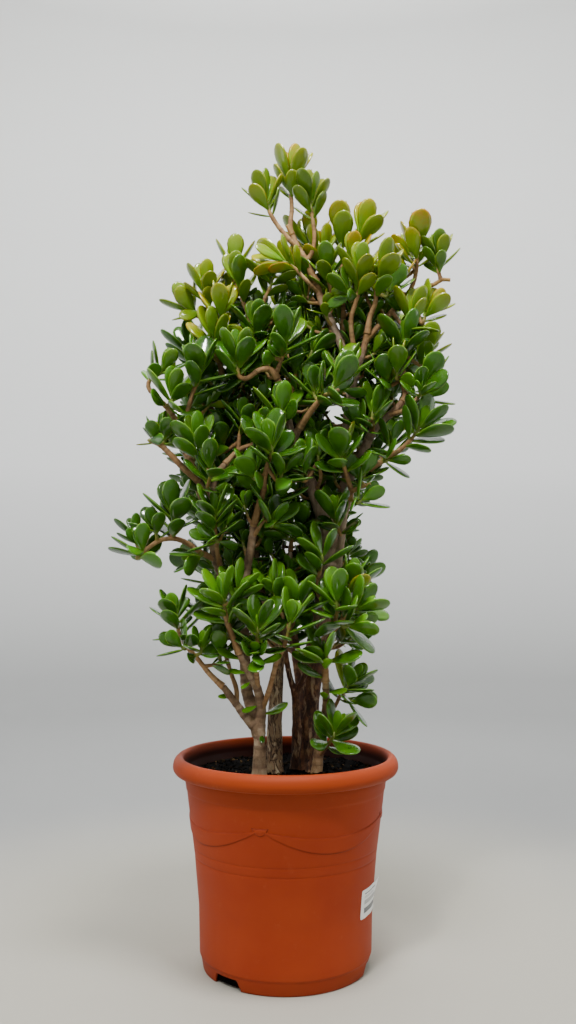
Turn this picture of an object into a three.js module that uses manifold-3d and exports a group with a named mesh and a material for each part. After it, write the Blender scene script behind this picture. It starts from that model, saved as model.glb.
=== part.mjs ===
// A jade plant in a terracotta-coloured plastic pot. Millimetres, +Z up, front toward -Y.
import * as THREE from 'three';
import { mergeVertices } from 'three/addons/utils/BufferGeometryUtils.js';
import Module from 'manifold-3d';

const wasm = await Module();
wasm.setup();

// driving dimensions
const potHeight = 296;
const potWall = 3;
const rimRadius = 163;
const rimOpening = 146.5;
const potFacets = 28;
const firstKnot = -14; // of the festoon, in degrees round from the front
const gap = 0.3; // between parts that touch
const soilTop = 270;
const stemFoot = 180; // how deep the stems stand
const leafLength = 48;
const leafWidth = 0.57; // of the length
const leafThick = 0.09; // of the length
const twigRadius = 2.3;
const twigTop = 4.4; // from the crossing of the leaf pairs to the end of the twig
const middle = [3.4, 561]; // branches spread from here
const spreadDistance = 1444;

// outer half section of the pot below the rim, radius and height
const potSection = [[119, 0], [121.5, 17], [123.5, 21], [125, 87], [131.5, 158], [144, 255], [146.5, 271]];

// the woody stems: foot, then limbs as start radius, end radius and points across, up, depth
const stems = {
  stem_front: {
    foot: 9.4,
    limbs: [
      [9.4, 4.8, [[-38, 285, -45], [-38, 315, -45], [-37, 340, -46], [-36, 362, -50], [-41, 388, -58],
        [-53, 412, -66], [-68, 440, -74]]],
      [7, 4.8, [[-38, 325, -45], [-56, 346, -50], [-78, 375, -56], [-92, 393, -59]]],
      [9, 5.6, [[-39, 322, -42], [-50, 362, -34], [-58, 395, -28], [-60, 440, -24], [-62, 480, -24],
        [-66, 505, -26], [-61, 540, -28], [-49, 610, -32], [-47, 628, -34]]],
      [7, 5.2, [[-64, 498, -26], [-82, 530, -28], [-97, 562, -32], [-107, 595, -36], [-114, 630, -38],
        [-127, 690, -38], [-138, 714, -43]]],
      [5.5, 4.6, [[-118, 650, -38], [-104, 698, -30], [-90, 720, -24]]],
    ],
  },
  stem_cracked: {
    foot: 12,
    limbs: [
      [12, 7, [[-16, 285, -12], [-16, 330, -12], [-14, 375, -12], [-12, 410, -10], [-8, 450, -6],
        [-3, 485, 0]]],
      [5, 3.6, [[-3, 480, 0], [1, 520, 4], [4, 555, 6], [7, 590, 6]]],
      [6, 4.5, [[-6, 465, -3], [-28, 510, 16], [-42, 560, 34], [-44, 620, 50], [-38, 680, 64]]],
    ],
  },
  stem_main: {
    foot: 17,
    limbs: [
      [17, 14, [[28, 285, 18], [31, 340, 18], [37, 400, 16], [46, 460, 12], [58, 520, 8], [69, 585, 2]]],
      [12, 5.4, [[67, 570, 2], [63, 610, 0], [42, 680, -8], [28, 708, -14], [14, 738, -20], [13, 758, -27],
        [20, 773, -35]]],
      [6, 4.8, [[14, 742, -21], [4, 785, -22], [-3, 820, -28], [-12, 848, -34]]],
      [12, 9.5, [[69, 576, 2], [74, 615, 6], [82, 655, 8], [90, 690, 8], [98, 718, 6]]],
      [8, 5.6, [[97, 710, 6], [91, 750, 2], [92, 790, 0], [97, 822, 0], [94, 855, 4], [86, 890, 8],
        [74, 920, 8], [54, 965, 4], [46, 992, 0]]],
      [8, 4.8, [[98, 714, 6], [114, 737, -2], [128, 766, -10], [142, 784, -14], [160, 798, -18],
        [174, 813, -20]]],
      [5.4, 4.6, [[98, 708, 6], [112, 710, -10], [124, 712, -20]]],
      [6, 4.8, [[96, 822, 0], [106, 858, -6], [116, 890, -12], [122, 915, -16]]],
      [6, 4.4, [[76, 568, -4], [82, 605, -14], [86, 640, -20], [94, 665, -24]]],
      [7, 5, [[70, 585, 6], [62, 650, 48], [54, 710, 80], [50, 770, 98]]],
      [6.5, 4.8, [[92, 696, 8], [118, 755, 46], [138, 810, 72]]],
      [7.5, 5.6, [[14, 274, 2], [16, 336, -3], [14, 384, -6]]],
      [4.8, 3.6, [[14, 380, -6], [4, 416, -14], [-3, 462, -22]]],
      [5, 4, [[14, 380, -6], [25, 402, -12], [34, 424, -14]]],
    ],
  },
  stem_right: {
    foot: 7.5,
    limbs: [
      [7.5, 5, [[44, 285, -8], [50, 315, -14], [57, 345, -22], [59, 372, -32], [58, 400, -44]]],
    ],
  },
  stem_back: {
    foot: 9,
    limbs: [
      [9, 6, [[26, 285, 58], [25, 340, 58], [21, 400, 60], [12, 460, 66], [0, 520, 72], [-6, 580, 80],
        [-12, 640, 88]]],
      [6.5, 5.2, [[9, 472, 67], [-25, 530, 76], [-50, 590, 80], [-68, 650, 76], [-80, 710, 66],
        [-85, 770, 48], [-84, 815, 34]]],
    ],
  },
};

// the leafy branches: limbs as above, then rosettes as across, up, depth, tilt right, tilt front, size
const branches = {
  branch_crown: {
    on: 'stem_main',
    limbs: [
      [5.4, 2.6, [[46, 990, 0], [36, 1013, -4], [27, 1032, -6], [18, 1046, -6], [4, 1060, -8],
        [-12, 1080, -10], [-23, 1098, -12], [-29, 1114, -12]]],
      [4.2, 2.6, [[18, 1045, -6], [11, 1064, -2], [7, 1080, 0], [9, 1104, 0], [8, 1128, 0], [7, 1145, 0]]],
      [3.6, 2.6, [[30, 1025, -5], [40, 1040, -7], [43, 1062, -8], [41, 1088, -9], [38, 1112, -10]]],
      [3.6, 3.2, [[10, 1066, -2], [2, 1081, -4]]],
    ],
    rosettes: [[-30, 1119, -12, -8, 5, 1.05], [8, 1151, 0, 3, 0, 1.2], [38, 1117, -10, 5, 10, 1.1],
      [14, 1030, 6, -10, 0, 0.5]],
  },
  branch_crown_left: {
    on: 'stem_main',
    limbs: [[3.2, 2.4, [[50, 977, 2], [30, 997, -14], [14, 1014, -18], [3, 1022, -22]]]],
    rosettes: [[-2, 1024, -24, -75, 10, 1.15]],
  },
  branch_crown_dark: {
    on: 'stem_main',
    limbs: [[3, 2.4, [[56, 960, 4], [38, 966, 16], [22, 984, 24], [12, 1002, 28], [6, 1016, 30]]]],
    rosettes: [[36, 1050, 34, -5, -5, 1.2], [2, 1022, 32, -15, -10, 0.8]],
  },
  branch_crown_right: {
    on: 'stem_main',
    limbs: [[3, 2.4, [[60, 950, 6], [67, 972, 0], [65, 992, -4], [62, 1004, -6]]]],
    rosettes: [[62, 1009, -6, 5, 12, 1.1], [54, 1034, 16, 0, 0, 1.1]],
  },
  branch_crown_tall: {
    on: 'stem_main',
    limbs: [
      [4.2, 2.6, [[84, 895, 8], [86, 930, 18], [86, 970, 22], [84, 1014, 22], [84, 1058, 20]]],
      [3, 2.4, [[85, 1000, 22], [98, 1032, 14], [108, 1058, 10]]],
    ],
    rosettes: [[83, 1064, 20, -8, 5, 1.3], [111, 1064, 10, 10, 5, 1.25], [100, 1022, 0, 0, 20, 1.1]],
  },
  branch_right_front: {
    on: 'stem_main',
    limbs: [[4, 2.5, [[110, 868, -8], [100, 905, -14], [98, 938, -22], [104, 960, -28], [111, 985, -34],
      [111, 998, -38]]]],
    rosettes: [[111, 1003, -40, 2, 10, 1.15], [94, 978, -36, -25, 5, 0.95]],
  },
  branch_right_mid: {
    on: 'stem_main',
    limbs: [[4.6, 2.5, [[122, 913, -16], [126, 940, -20], [134, 962, -28], [136, 982, -34],
      [140, 998, -38]]]],
    rosettes: [[141, 1003, -40, 5, 5, 1.25], [152, 976, -30, 25, 0, 1.1]],
  },
  branch_right_crown: {
    on: 'stem_main',
    limbs: [
      [4.6, 2.6, [[120, 906, -14], [142, 930, -8], [158, 948, -4], [172, 966, -2], [188, 984, -2],
        [196, 1010, -4], [198, 1042, -6]]],
      [3, 2.4, [[188, 984, -2], [194, 1006, 8], [190, 1026, 14]]],
      [3.6, 2.7, [[174, 968, -2], [202, 984, -8], [222, 990, -12], [234, 997, -14], [247, 997, -14]]],
      [2.8, 2.3, [[233, 996, -14], [229, 1012, -14], [231, 1026, -14]]],
    ],
    rosettes: [[198, 1048, -6, 0, 5, 1.25], [188, 1036, 15, -20, -10, 0.95], [229, 1031, -14, -6, 5, 1],
      [187, 938, -26, 15, 10, 1.25], [165, 990, -10, 8, 5, 1.15], [212, 948, -16, 30, 0, 1]],
  },
  branch_right_upper: {
    on: 'stem_main',
    limbs: [[4.6, 2.6, [[174, 813, -20], [178, 824, -19], [172, 846, -12], [172, 872, -8], [176, 892, -14]]]],
    rosettes: [[177, 897, -20, 0, 5, 1.25], [206, 884, -4, 20, 0, 1.1], [150, 846, -20, -12, 10, 1.1],
      [166, 860, -36, 0, 15, 1.1]],
  },
  branch_right_outer: {
    on: 'stem_main',
    limbs: [[3.6, 2.6, [[154, 793, -17], [176, 800, -38], [194, 816, -42], [206, 832, -38]]]],
    rosettes: [[208, 841, -34, 18, 5, 1.15], [200, 824, -50, 10, 55, 1.05], [208, 818, -24, 55, 0, 1]],
  },
  branch_right_low: {
    on: 'stem_main',
    limbs: [[4.6, 2.6, [[124, 712, -20], [145, 725, -32], [165, 737, -38], [182, 752, -42],
      [194, 766, -44]]]],
    rosettes: [[197, 771, -45, 30, 12, 1.25], [156, 748, -26, 15, 5, 1], [150, 724, -38, 75, 10, 0.95]],
  },
  branch_right_inner: {
    on: 'stem_main',
    limbs: [[3, 2.4, [[128, 764, -10], [130, 774, -26], [130, 788, -32]]]],
    rosettes: [[129, 793, -34, 3, 8, 1.15], [112, 776, -38, -30, 15, 0.95]],
  },
  branch_centre: {
    on: 'stem_main',
    limbs: [[5, 3, [[20, 773, -35], [40, 802, -55], [56, 820, -68], [67, 829, -77]]]],
    rosettes: [[71, 832, -80, 32, 20, 1.35], [42, 826, -56, -8, 10, 1.05], [88, 858, -60, 5, 10, 1.15]],
  },
  branch_centre_left: {
    on: 'stem_main',
    limbs: [
      [4.8, 2.8, [[-12, 846, -34], [-24, 861, -40], [-40, 860, -46], [-58, 848, -52], [-70, 852, -56],
        [-71, 866, -58]]],
      [3.4, 2.4, [[-15, 852, -35], [-8, 872, -42], [-1, 893, -50]]],
    ],
    rosettes: [[-70, 873, -60, 5, 10, 1.2], [1, 901, -54, 5, 10, 1.25], [-27, 884, -50, 8, 15, 1.05]],
  },
  branch_centre_up: {
    on: 'stem_main',
    limbs: [[3.8, 2.8, [[4, 788, -24], [10, 830, -12], [16, 862, -4]]]],
    rosettes: [[17, 869, -2, 5, 5, 1.1], [38, 886, 6, 20, 0, 1.1]],
  },
  branch_front_low: {
    on: 'stem_main',
    limbs: [[3, 2.4, [[56, 512, 8], [45, 534, -26], [50, 558, -42], [53, 574, -46]]]],
    rosettes: [[54, 580, -48, 6, 12, 1.2]],
  },
  branch_right_thin: {
    on: 'stem_main',
    limbs: [
      [4, 2.4, [[94, 664, -24], [97, 680, -27], [92, 697, -38], [87, 714, -50], [83, 728, -58]]],
      [3.4, 2.8, [[97, 679, -27], [110, 684, -30], [126, 690, -32]]],
    ],
    rosettes: [[83, 734, -60, 3, 10, 1.2], [110, 664, -38, 55, 5, 1], [112, 700, -26, 25, 0, 1]],
  },
  branch_centre_inner: {
    on: 'stem_main',
    limbs: [[3, 2.4, [[44, 676, -8], [52, 700, -32], [49, 722, -38]]]],
    rosettes: [[48, 728, -40, 0, 8, 1.15], [22, 712, -62, -20, 15, 1.1]],
  },
  branch_inner_right: {
    on: 'stem_main',
    limbs: [[3, 2.4, [[83, 612, -15], [77, 624, -28], [73, 634, -34]]]],
    rosettes: [[73, 640, -34, 2, 10, 1.15]],
  },
  branch_centre_pale: {
    on: 'stem_main',
    limbs: [[2.8, 2.4, [[3, 788, -24], [-6, 780, -46], [-8, 788, -58]]]],
    rosettes: [[-8, 793, -62, 3, 10, 1.15]],
  },
  branch_back_centre: {
    on: 'stem_main',
    limbs: [[4.8, 3, [[50, 768, 98], [54, 830, 108], [60, 890, 104], [66, 950, 92]]]],
    rosettes: [[67, 958, 92, 0, -10, 1.2], [38, 896, 128, -15, -35, 1.2], [84, 862, 132, 20, -35, 1.2]],
  },
  branch_back_right: {
    on: 'stem_main',
    limbs: [[4.8, 3, [[138, 808, 72], [150, 860, 84], [158, 915, 84]]]],
    rosettes: [[160, 922, 84, 5, -10, 1.2], [184, 872, 96, 35, -25, 1.2], [128, 868, 118, -10, -45, 1.2]],
  },
  branch_back_low: {
    on: 'stem_main',
    limbs: [[4.2, 3, [[44, 452, 16], [75, 500, 50], [100, 545, 75]]]],
    rosettes: [[104, 553, 78, 20, -20, 1.2], [76, 560, 102, 0, -50, 1.2]],
  },
  branch_low_left: {
    on: 'stem_front',
    limbs: [[4.8, 2.6, [[-90, 391, -58], [-99, 399, -60], [-113, 413, -62], [-130, 434, -64],
      [-146, 452, -62], [-157, 472, -60], [-160, 488, -58]]]],
    rosettes: [[-160, 494, -58, -12, 0, 1.1], [-151, 449, -78, -50, 20, 0.9], [-124, 446, -74, 0, 20, 0.9],
      [-97, 440, -66, 0, 15, 1.05]],
  },
  branch_low_inner: {
    on: 'stem_front',
    limbs: [[3.5, 2.4, [[-72, 368, -54], [-72, 388, -46], [-80, 412, -42], [-90, 444, -36], [-100, 470, -28],
      [-108, 494, -20]]]],
    rosettes: [[-111, 502, -17, -20, 0, 1.1], [-82, 477, -50, 10, 10, 1]],
  },
  branch_front_bright: {
    on: 'stem_front',
    limbs: [[4.8, 3, [[-68, 440, -74], [-78, 465, -80], [-86, 487, -86], [-91, 510, -90]]]],
    rosettes: [[-91, 517, -92, -8, 18, 1.3], [-70, 528, -84, 25, 12, 1.1]],
  },
  branch_front_centre: {
    on: 'stem_front',
    limbs: [[4, 2.6, [[-41, 388, -58], [-43, 420, -76], [-42, 445, -90], [-41, 465, -98]]]],
    rosettes: [[-41, 474, -101, 5, 15, 1.25], [-44, 438, -96, -5, 60, 1]],
  },
  branch_front_right: {
    on: 'stem_front',
    limbs: [[4.2, 2.6, [[-36, 356, -49], [-25, 385, -62], [-14, 425, -70], [-3, 448, -76], [4, 472, -82]]]],
    rosettes: [[6, 482, -85, 12, 15, 1.3], [16, 506, -58, 8, 5, 1.3], [-16, 526, -70, -20, 5, 1.15]],
  },
  branch_middle: {
    on: 'stem_front',
    limbs: [[5.4, 2.8, [[-47, 626, -34], [-41, 655, -45], [-33, 680, -60], [-31, 702, -72], [-26, 722, -84],
      [-22, 736, -92]]]],
    rosettes: [[-21, 743, -96, -5, 15, 1.35], [-48, 702, -78, -15, 15, 1.15], [-6, 704, -86, 25, 15, 1.1]],
  },
  branch_middle_right: {
    on: 'stem_front',
    limbs: [[3.2, 2.4, [[-48, 608, -32], [-32, 638, -48], [-20, 658, -53]]]],
    rosettes: [[-15, 665, -54, 25, 10, 1.05], [-20, 630, -64, 20, 20, 1]],
  },
  branch_far_left: {
    on: 'stem_front',
    limbs: [
      [4.8, 3, [[-102, 578, -34], [-124, 588, -38], [-145, 602, -42], [-166, 609, -46], [-190, 604, -50],
        [-212, 588, -54], [-219, 581, -56]]],
      [3, 2.4, [[-166, 608, -46], [-168, 622, -46], [-167, 637, -46]]],
    ],
    rosettes: [[-167, 642, -46, -8, 5, 1.25], [-193, 622, -50, -20, 5, 0.9], [-211, 588, -57, -5, 8, 1.05],
      [-221, 614, -36, -10, -8, 0.8], [-128, 583, -46, -105, 10, 1.05]],
  },
  branch_left_stub: {
    on: 'stem_front',
    limbs: [[4.8, 3.2, [[-129, 694, -39], [-152, 714, -52], [-175, 738, -56], [-188, 749, -58],
      [-203, 755, -60]]]],
    rosettes: [[-193, 758, -60, -8, 5, 0.85], [-179, 757, -54, 15, 5, 1]],
  },
  branch_left_up: {
    on: 'stem_front',
    limbs: [
      [4.8, 2.6, [[-138, 714, -43], [-150, 742, -38], [-157, 772, -38], [-172, 798, -42], [-190, 818, -44],
        [-204, 833, -46], [-202, 846, -46], [-190, 855, -46]]],
      [3.6, 2.5, [[-158, 776, -38], [-146, 800, -42], [-139, 824, -46], [-131, 848, -50]]],
    ],
    rosettes: [[-186, 858, -46, 32, 5, 0.95], [-170, 816, -54, 5, 12, 1.15],
      [-129, 855, -52, 5, 12, 1.3]],
  },
  branch_left_inner: {
    on: 'stem_front',
    limbs: [
      [4.4, 2.8, [[-92, 716, -25], [-70, 740, -20], [-52, 748, -18], [-38, 754, -16]]],
      [3, 2.4, [[-70, 740, -20], [-69, 760, -20], [-65, 780, -20]]],
    ],
    rosettes: [[-65, 785, -20, -4, 8, 0.9], [-32, 762, -12, 20, 0, 1.1], [-96, 752, -6, -15, 0, 1.15]],
  },
  branch_left_mid: {
    on: 'stem_front',
    limbs: [[3, 2.4, [[-120, 664, -38], [-116, 684, -54], [-113, 704, -66]]]],
    rosettes: [[-112, 710, -70, -8, 12, 1.15], [-131, 746, -58, -12, 5, 1.2]],
  },
  branch_left_low: {
    on: 'stem_front',
    limbs: [[3, 2.4, [[-98, 566, -33], [-101, 590, -52], [-104, 618, -62], [-105, 636, -66]]]],
    rosettes: [[-105, 642, -68, 0, 20, 1.15], [-104, 606, -66, -60, 20, 0.9]],
  },
  branch_centre_dark: {
    on: 'stem_cracked',
    limbs: [[3.4, 2.6, [[7, 588, 6], [9, 607, 4], [17, 624, 0]]]],
    rosettes: [[19, 629, -1, 20, 8, 1.15], [2, 612, -14, -35, 10, 1]],
  },
  branch_back_mid: {
    on: 'stem_cracked',
    limbs: [[4.4, 3, [[-38, 678, 64], [-42, 740, 82], [-46, 800, 92], [-48, 860, 92]]]],
    rosettes: [[-48, 868, 92, 0, -10, 1.2], [-70, 812, 112, -25, -35, 1.2], [-26, 790, 116, 15, -40, 1.1]],
  },
  branch_right_column: {
    on: 'stem_right',
    limbs: [
      [5, 2.6, [[58, 398, -44], [58, 428, -58], [60, 448, -58], [68, 470, -54], [84, 490, -52],
        [99, 502, -52]]],
      [3, 2.4, [[66, 466, -54], [74, 494, -64], [75, 508, -70]]],
      [3, 2.4, [[82, 488, -52], [91, 516, -42], [94, 538, -34]]],
    ],
    rosettes: [[57, 430, -66, -8, 20, 1.25], [101, 504, -52, 60, 5, 1.2], [75, 514, -72, -2, 10, 1.25],
      [95, 545, -33, 12, 0, 1.15], [90, 480, -62, 80, 10, 1.15]],
  },
  branch_right_shade: {
    on: 'stem_right',
    limbs: [[3, 2.4, [[57, 348, -23], [71, 362, -26], [81, 382, -36], [90, 392, -40]]]],
    rosettes: [[93, 396, -42, 35, 5, 1.15], [94, 372, -40, 85, 10, 1]],
  },
  branch_right_shoot: {
    on: 'stem_right',
    limbs: [[2.8, 2.2, [[45, 292, -10], [58, 303, -30], [67, 317, -46]]]],
    rosettes: [[70, 323, -50, 20, 8, 1.1]],
  },
  branch_upper_left: {
    on: 'stem_back',
    limbs: [[5, 3.2, [[-84, 812, 35], [-92, 845, 28], [-102, 880, 20], [-110, 915, 12], [-114, 945, 6],
      [-118, 972, 0]]]],
    rosettes: [[-120, 980, -3, -5, 5, 1.1], [-108, 905, -28, -10, 15, 1.2], [-140, 952, 14, -35, -5, 1.05],
      [-96, 944, -34, 8, 12, 1.25], [-94, 962, 26, 10, -10, 1.1]],
  },
  branch_upper_inner: {
    on: 'stem_back',
    limbs: [
      [4.6, 2.6, [[-85, 780, 44], [-68, 822, 52], [-62, 864, 36], [-56, 900, 18], [-46, 928, 6],
        [-36, 955, 0], [-28, 975, -4], [-23, 991, -6]]],
      [3.4, 2.5, [[-50, 918, 9], [-56, 942, -2], [-64, 964, -8], [-71, 984, -12]]],
    ],
    rosettes: [[-22, 997, -7, -15, 5, 1.05], [-72, 990, -13, -12, 12, 1.15],
      [-77, 1016, 6, 2, -5, 1.1], [-46, 922, -24, 0, 12, 1.1]],
  },
  branch_back_left: {
    on: 'stem_back',
    limbs: [[4.4, 3, [[6, 440, 65], [-25, 465, 84], [-60, 490, 96], [-90, 520, 102]]]],
    rosettes: [[-95, 528, 104, -20, -20, 1.2], [-58, 508, 122, 0, -50, 1.2], [-120, 570, 92, -15, -10, 1.2]],
  },
  branch_back_right_low: {
    on: 'stem_back',
    limbs: [[4, 3, [[8, 405, 62], [35, 440, 84], [60, 478, 100]]]],
    rosettes: [[64, 486, 103, 25, -20, 1.2], [34, 478, 124, -5, -55, 1.2]],
  },
  branch_back_up: {
    on: 'stem_back',
    limbs: [[5.4, 3, [[-12, 638, 88], [-14, 700, 104], [-14, 770, 114], [-10, 840, 112], [-8, 900, 100]]]],
    rosettes: [[-8, 908, 100, 0, -10, 1.2], [-28, 850, 136, -15, -40, 1.2], [12, 780, 142, 15, -50, 1.2],
      [-20, 716, 140, -10, -60, 1.2]],
  },
  branch_back_far_left: {
    on: 'stem_back',
    limbs: [[4.4, 3, [[-68, 652, 76], [-100, 684, 86], [-130, 716, 84], [-150, 750, 76]]]],
    rosettes: [[-154, 757, 74, -25, -10, 1.2], [-128, 742, 108, -10, -35, 1.2]],
  },
  branch_back_left_crown: {
    on: 'stem_back',
    limbs: [[4.2, 2.8, [[-85, 768, 49], [-110, 800, 68], [-130, 840, 72], [-140, 880, 64]]]],
    rosettes: [[-142, 887, 62, -15, 0, 1.2]],
  },
};

// seeded draws, the same sequence every time
function makeRandom(seed) {
  let state = seed;
  return () => {
    state = (state + 0x6d2b79f5) | 0;
    let mixed = Math.imul(state ^ (state >>> 15), 1 | state);
    mixed = (mixed + Math.imul(mixed ^ (mixed >>> 7), 61 | mixed)) ^ mixed;
    return ((mixed ^ (mixed >>> 14)) >>> 0) / 4294967296;
  };
}

// a point of the plant: across and up spread a little with depth
function place([across, up, depth]) {
  const spread = 1 + depth / spreadDistance;
  const x = middle[0] + (across - middle[0]) * spread;
  const z = middle[1] + (up - middle[1]) * spread;
  return new THREE.Vector3(x, depth, z);
}

function toSolid(source) {
  const plain = source.clone();
  plain.deleteAttribute('normal');
  plain.deleteAttribute('uv');
  const merged = mergeVertices(plain, 1e-3);
  const corners = merged.index.array;
  const kept = [];
  for (let i = 0; i < corners.length; i += 3) {
    const [a, b, c] = [corners[i], corners[i + 1], corners[i + 2]];
    if (a !== b && b !== c && a !== c) kept.push(a, b, c);
  }
  const mesh = new wasm.Mesh({
    numProp: 3,
    vertProperties: Float32Array.from(merged.attributes.position.array),
    triVerts: Uint32Array.from(kept),
  });
  return new wasm.Manifold(mesh);
}

function toGeometry(body) {
  const mesh = body.getMesh();
  const made = new THREE.BufferGeometry();
  made.setAttribute('position', new THREE.BufferAttribute(Float32Array.from(mesh.vertProperties), 3));
  made.setIndex(new THREE.BufferAttribute(Uint32Array.from(mesh.triVerts), 1));
  const flat = made.toNonIndexed();
  flat.computeVertexNormals();
  return flat;
}

// a cylinder bent along a path, with its own radius at each ring; its start can lie in a slanted plane
function tube(path, radii, sides, start) {
  const bent = new THREE.CylinderGeometry(1, 1, 1, sides, path.length - 1);
  const position = bent.attributes.position;
  const frames = ringFrames(path, new THREE.Vector3(1, 0, 0));
  for (let i = 0; i < position.count; i += 1) {
    const ring = Math.round((position.getY(i) + 0.5) * (path.length - 1));
    const point = path[ring].clone();
    point.addScaledVector(frames[ring][0], position.getX(i) * radii[ring]);
    point.addScaledVector(frames[ring][1], position.getZ(i) * radii[ring]);
    if (start && ring === 0) slide(point, path[1].clone().sub(path[0]).normalize(), start);
    position.setXYZ(i, point.x, point.y, point.z);
  }
  return toSolid(bent);
}

// moves a point along a direction into a plane
function slide(point, along, { through, normal }) {
  point.addScaledVector(along, through.clone().sub(point).dot(normal) / along.dot(normal));
}

function ringFrames(path, firstSide) {
  const frames = [];
  let side = firstSide;
  for (let i = 0; i < path.length; i += 1) {
    const ahead = path[Math.min(i + 1, path.length - 1)].clone().sub(path[i]).normalize();
    const behind = path[i].clone().sub(path[Math.max(i - 1, 0)]).normalize();
    const along = ahead.add(behind).normalize();
    side = side.clone().addScaledVector(along, -side.dot(along)).normalize();
    frames.push([side, new THREE.Vector3().crossVectors(side, along)]);
  }
  return frames;
}

function sidesFor(radius) {
  if (radius > 8.6) return 8;
  if (radius > 5.9) return 6;
  return radius > 3.5 ? 5 : 4;
}

function limbOf([start, end, points]) {
  const path = points.map(place);
  const radii = path.map((_, i) => start + ((end - start) * i) / (path.length - 1));
  return { path, radii };
}

// nearest point on a set of limbs, with the radius and direction there
function nearest(limbs, target) {
  let best = null;
  for (const { path, radii } of limbs) {
    for (let i = 0; i + 1 < path.length; i += 1) {
      const span = path[i + 1].clone().sub(path[i]);
      const reach = target.clone().sub(path[i]).dot(span) / span.lengthSq();
      const share = Math.min(1, Math.max(0, reach));
      const point = path[i].clone().addScaledVector(span, share);
      const away = point.distanceTo(target);
      if (!best || away < best.away) {
        const radius = radii[i] + (radii[i + 1] - radii[i]) * share;
        const last = i + 2 === path.length && path[i + 1].distanceTo(point) < 6;
        best = { point: last ? path[i + 1].clone() : point, radius, along: span.normalize(), away, last };
      }
    }
  }
  return best;
}

// where a branch starts: a plane just off the surface of the stem, as near as it clears
function startPlane(joint, limb, bodies) {
  const along = limb.path[1].clone().sub(joint.point).normalize();
  const radial = along.clone().addScaledVector(joint.along, -along.dot(joint.along));
  const across = radial.length();
  radial.normalize();
  if (joint.last && across < 0.8) {
    return { through: joint.point.clone().addScaledVector(joint.along, gap), normal: joint.along };
  }
  const normal = across > 0.33 ? radial : along;
  const slant = Math.sqrt(1 - across * across);
  const reach = across > 0.33 ? joint.radius : (joint.radius + limb.radii[0] * slant) / across;
  for (let share = 0.5; share < 1; share += 0.03) {
    const plane = { through: joint.point.clone().addScaledVector(normal, reach * share), normal };
    const path = [joint.point.clone(), limb.path[1]];
    slide(path[0], along, plane);
    const trial = tube(path, [1.09 * limb.radii[0], 1.09 * limb.radii[1]], 8, plane);
    if (bodies.some((body) => !body.intersect(trial).isEmpty())) continue;
    plane.through.addScaledVector(normal, gap);
    return plane;
  }
  return { through: joint.point.clone().addScaledVector(normal, reach + gap), normal };
}

// the corners of one thick obovate leaf: two wide, two at the end, one above and one below
function leafCorners(root, along, face, length, width, thick) {
  const across = new THREE.Vector3().crossVectors(face, along);
  const at = (u, v, w) => {
    const point = root.clone().addScaledVector(along, u * length);
    return point.addScaledVector(across, v * width).addScaledVector(face, w);
  };
  return [at(0.6, -0.5, 0.02 * length), at(0.6, 0.5, 0.02 * length), at(0.96, -0.27, 0.06 * length),
    at(0.96, 0.27, 0.06 * length), at(0.56, 0, 0.5 * thick), at(0.56, 0, -0.5 * thick)];
}

// faces of a leaf from the four corners of its root: low left, low right, high right, high left
function leafFaces([lowLeft, lowRight, highRight, highLeft], first) {
  const [left, right, endLeft, endRight, above, below] = [0, 1, 2, 3, 4, 5].map((i) => first + i);
  return [
    above, highRight, highLeft, above, highLeft, left, above, left, endLeft,
    above, endLeft, endRight, above, endRight, right, above, right, highRight,
    below, lowLeft, lowRight, below, left, lowLeft, below, endLeft, left,
    below, endRight, endLeft, below, right, endRight, below, lowRight, right,
    highLeft, lowLeft, left, highRight, right, lowRight,
  ];
}

function indexed(points, faces) {
  const shape = new THREE.BufferGeometry().setFromPoints(points);
  shape.setIndex(faces);
  return toSolid(shape);
}

const radians = THREE.MathUtils.degToRad;

// the directions a rosette grows its leaves in
function rosetteOf([across, up, depth, right, front, size]) {
  const base = place([across, up, depth]);
  const axis = new THREE.Vector3(Math.sin(radians(right)), 0, Math.cos(radians(right)));
  axis.multiplyScalar(Math.cos(radians(front))).y = -Math.sin(radians(front));
  const first = new THREE.Vector3(0, 1, 0).addScaledVector(axis, -axis.y).normalize();
  const second = new THREE.Vector3().crossVectors(axis, first);
  return { base, axis, first, second, size };
}

function outward({ first, second }, turn) {
  const out = first.clone().multiplyScalar(Math.cos(radians(turn)));
  return out.addScaledVector(second, Math.sin(radians(turn)));
}

// four corners of a square ring about the axis of a rosette
function squareRing(rosette, centre, radius) {
  const corners = [-45, 45, 135, 225].map((turn) => outward(rosette, rosette.turn + turn));
  return corners.map((out) => centre.clone().addScaledVector(out, radius));
}

// rings of the twig that carries a rosette, the last three around its leaves
function twigRings(rosette) {
  const { base, axis, size, start } = rosette;
  const low = base.clone().addScaledVector(axis, -twigTop * size);
  const path = [...rosette.path];
  const radii = [...rosette.radii.slice(0, path.length), twigRadius, 1.1 * twigRadius, 0.7 * twigRadius];
  path.push(low, base, base.clone().addScaledVector(axis, twigTop * size));
  const sides = ringFrames([...path].reverse(), rosette.first).map(([side]) => side).reverse();
  return path.map((centre, i) => {
    if (i >= path.length - 3) return squareRing(rosette, centre, radii[i]);
    const along = path[i + 1].clone().sub(centre).normalize();
    const first = sides[i].clone().addScaledVector(along, -sides[i].dot(along)).normalize();
    const frame = { first, second: new THREE.Vector3().crossVectors(along, first), turn: rosette.turn };
    const ring = squareRing(frame, centre, radii[i]);
    if (start && i === 0) ring.forEach((corner) => slide(corner, along, start));
    return ring;
  });
}

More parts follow.
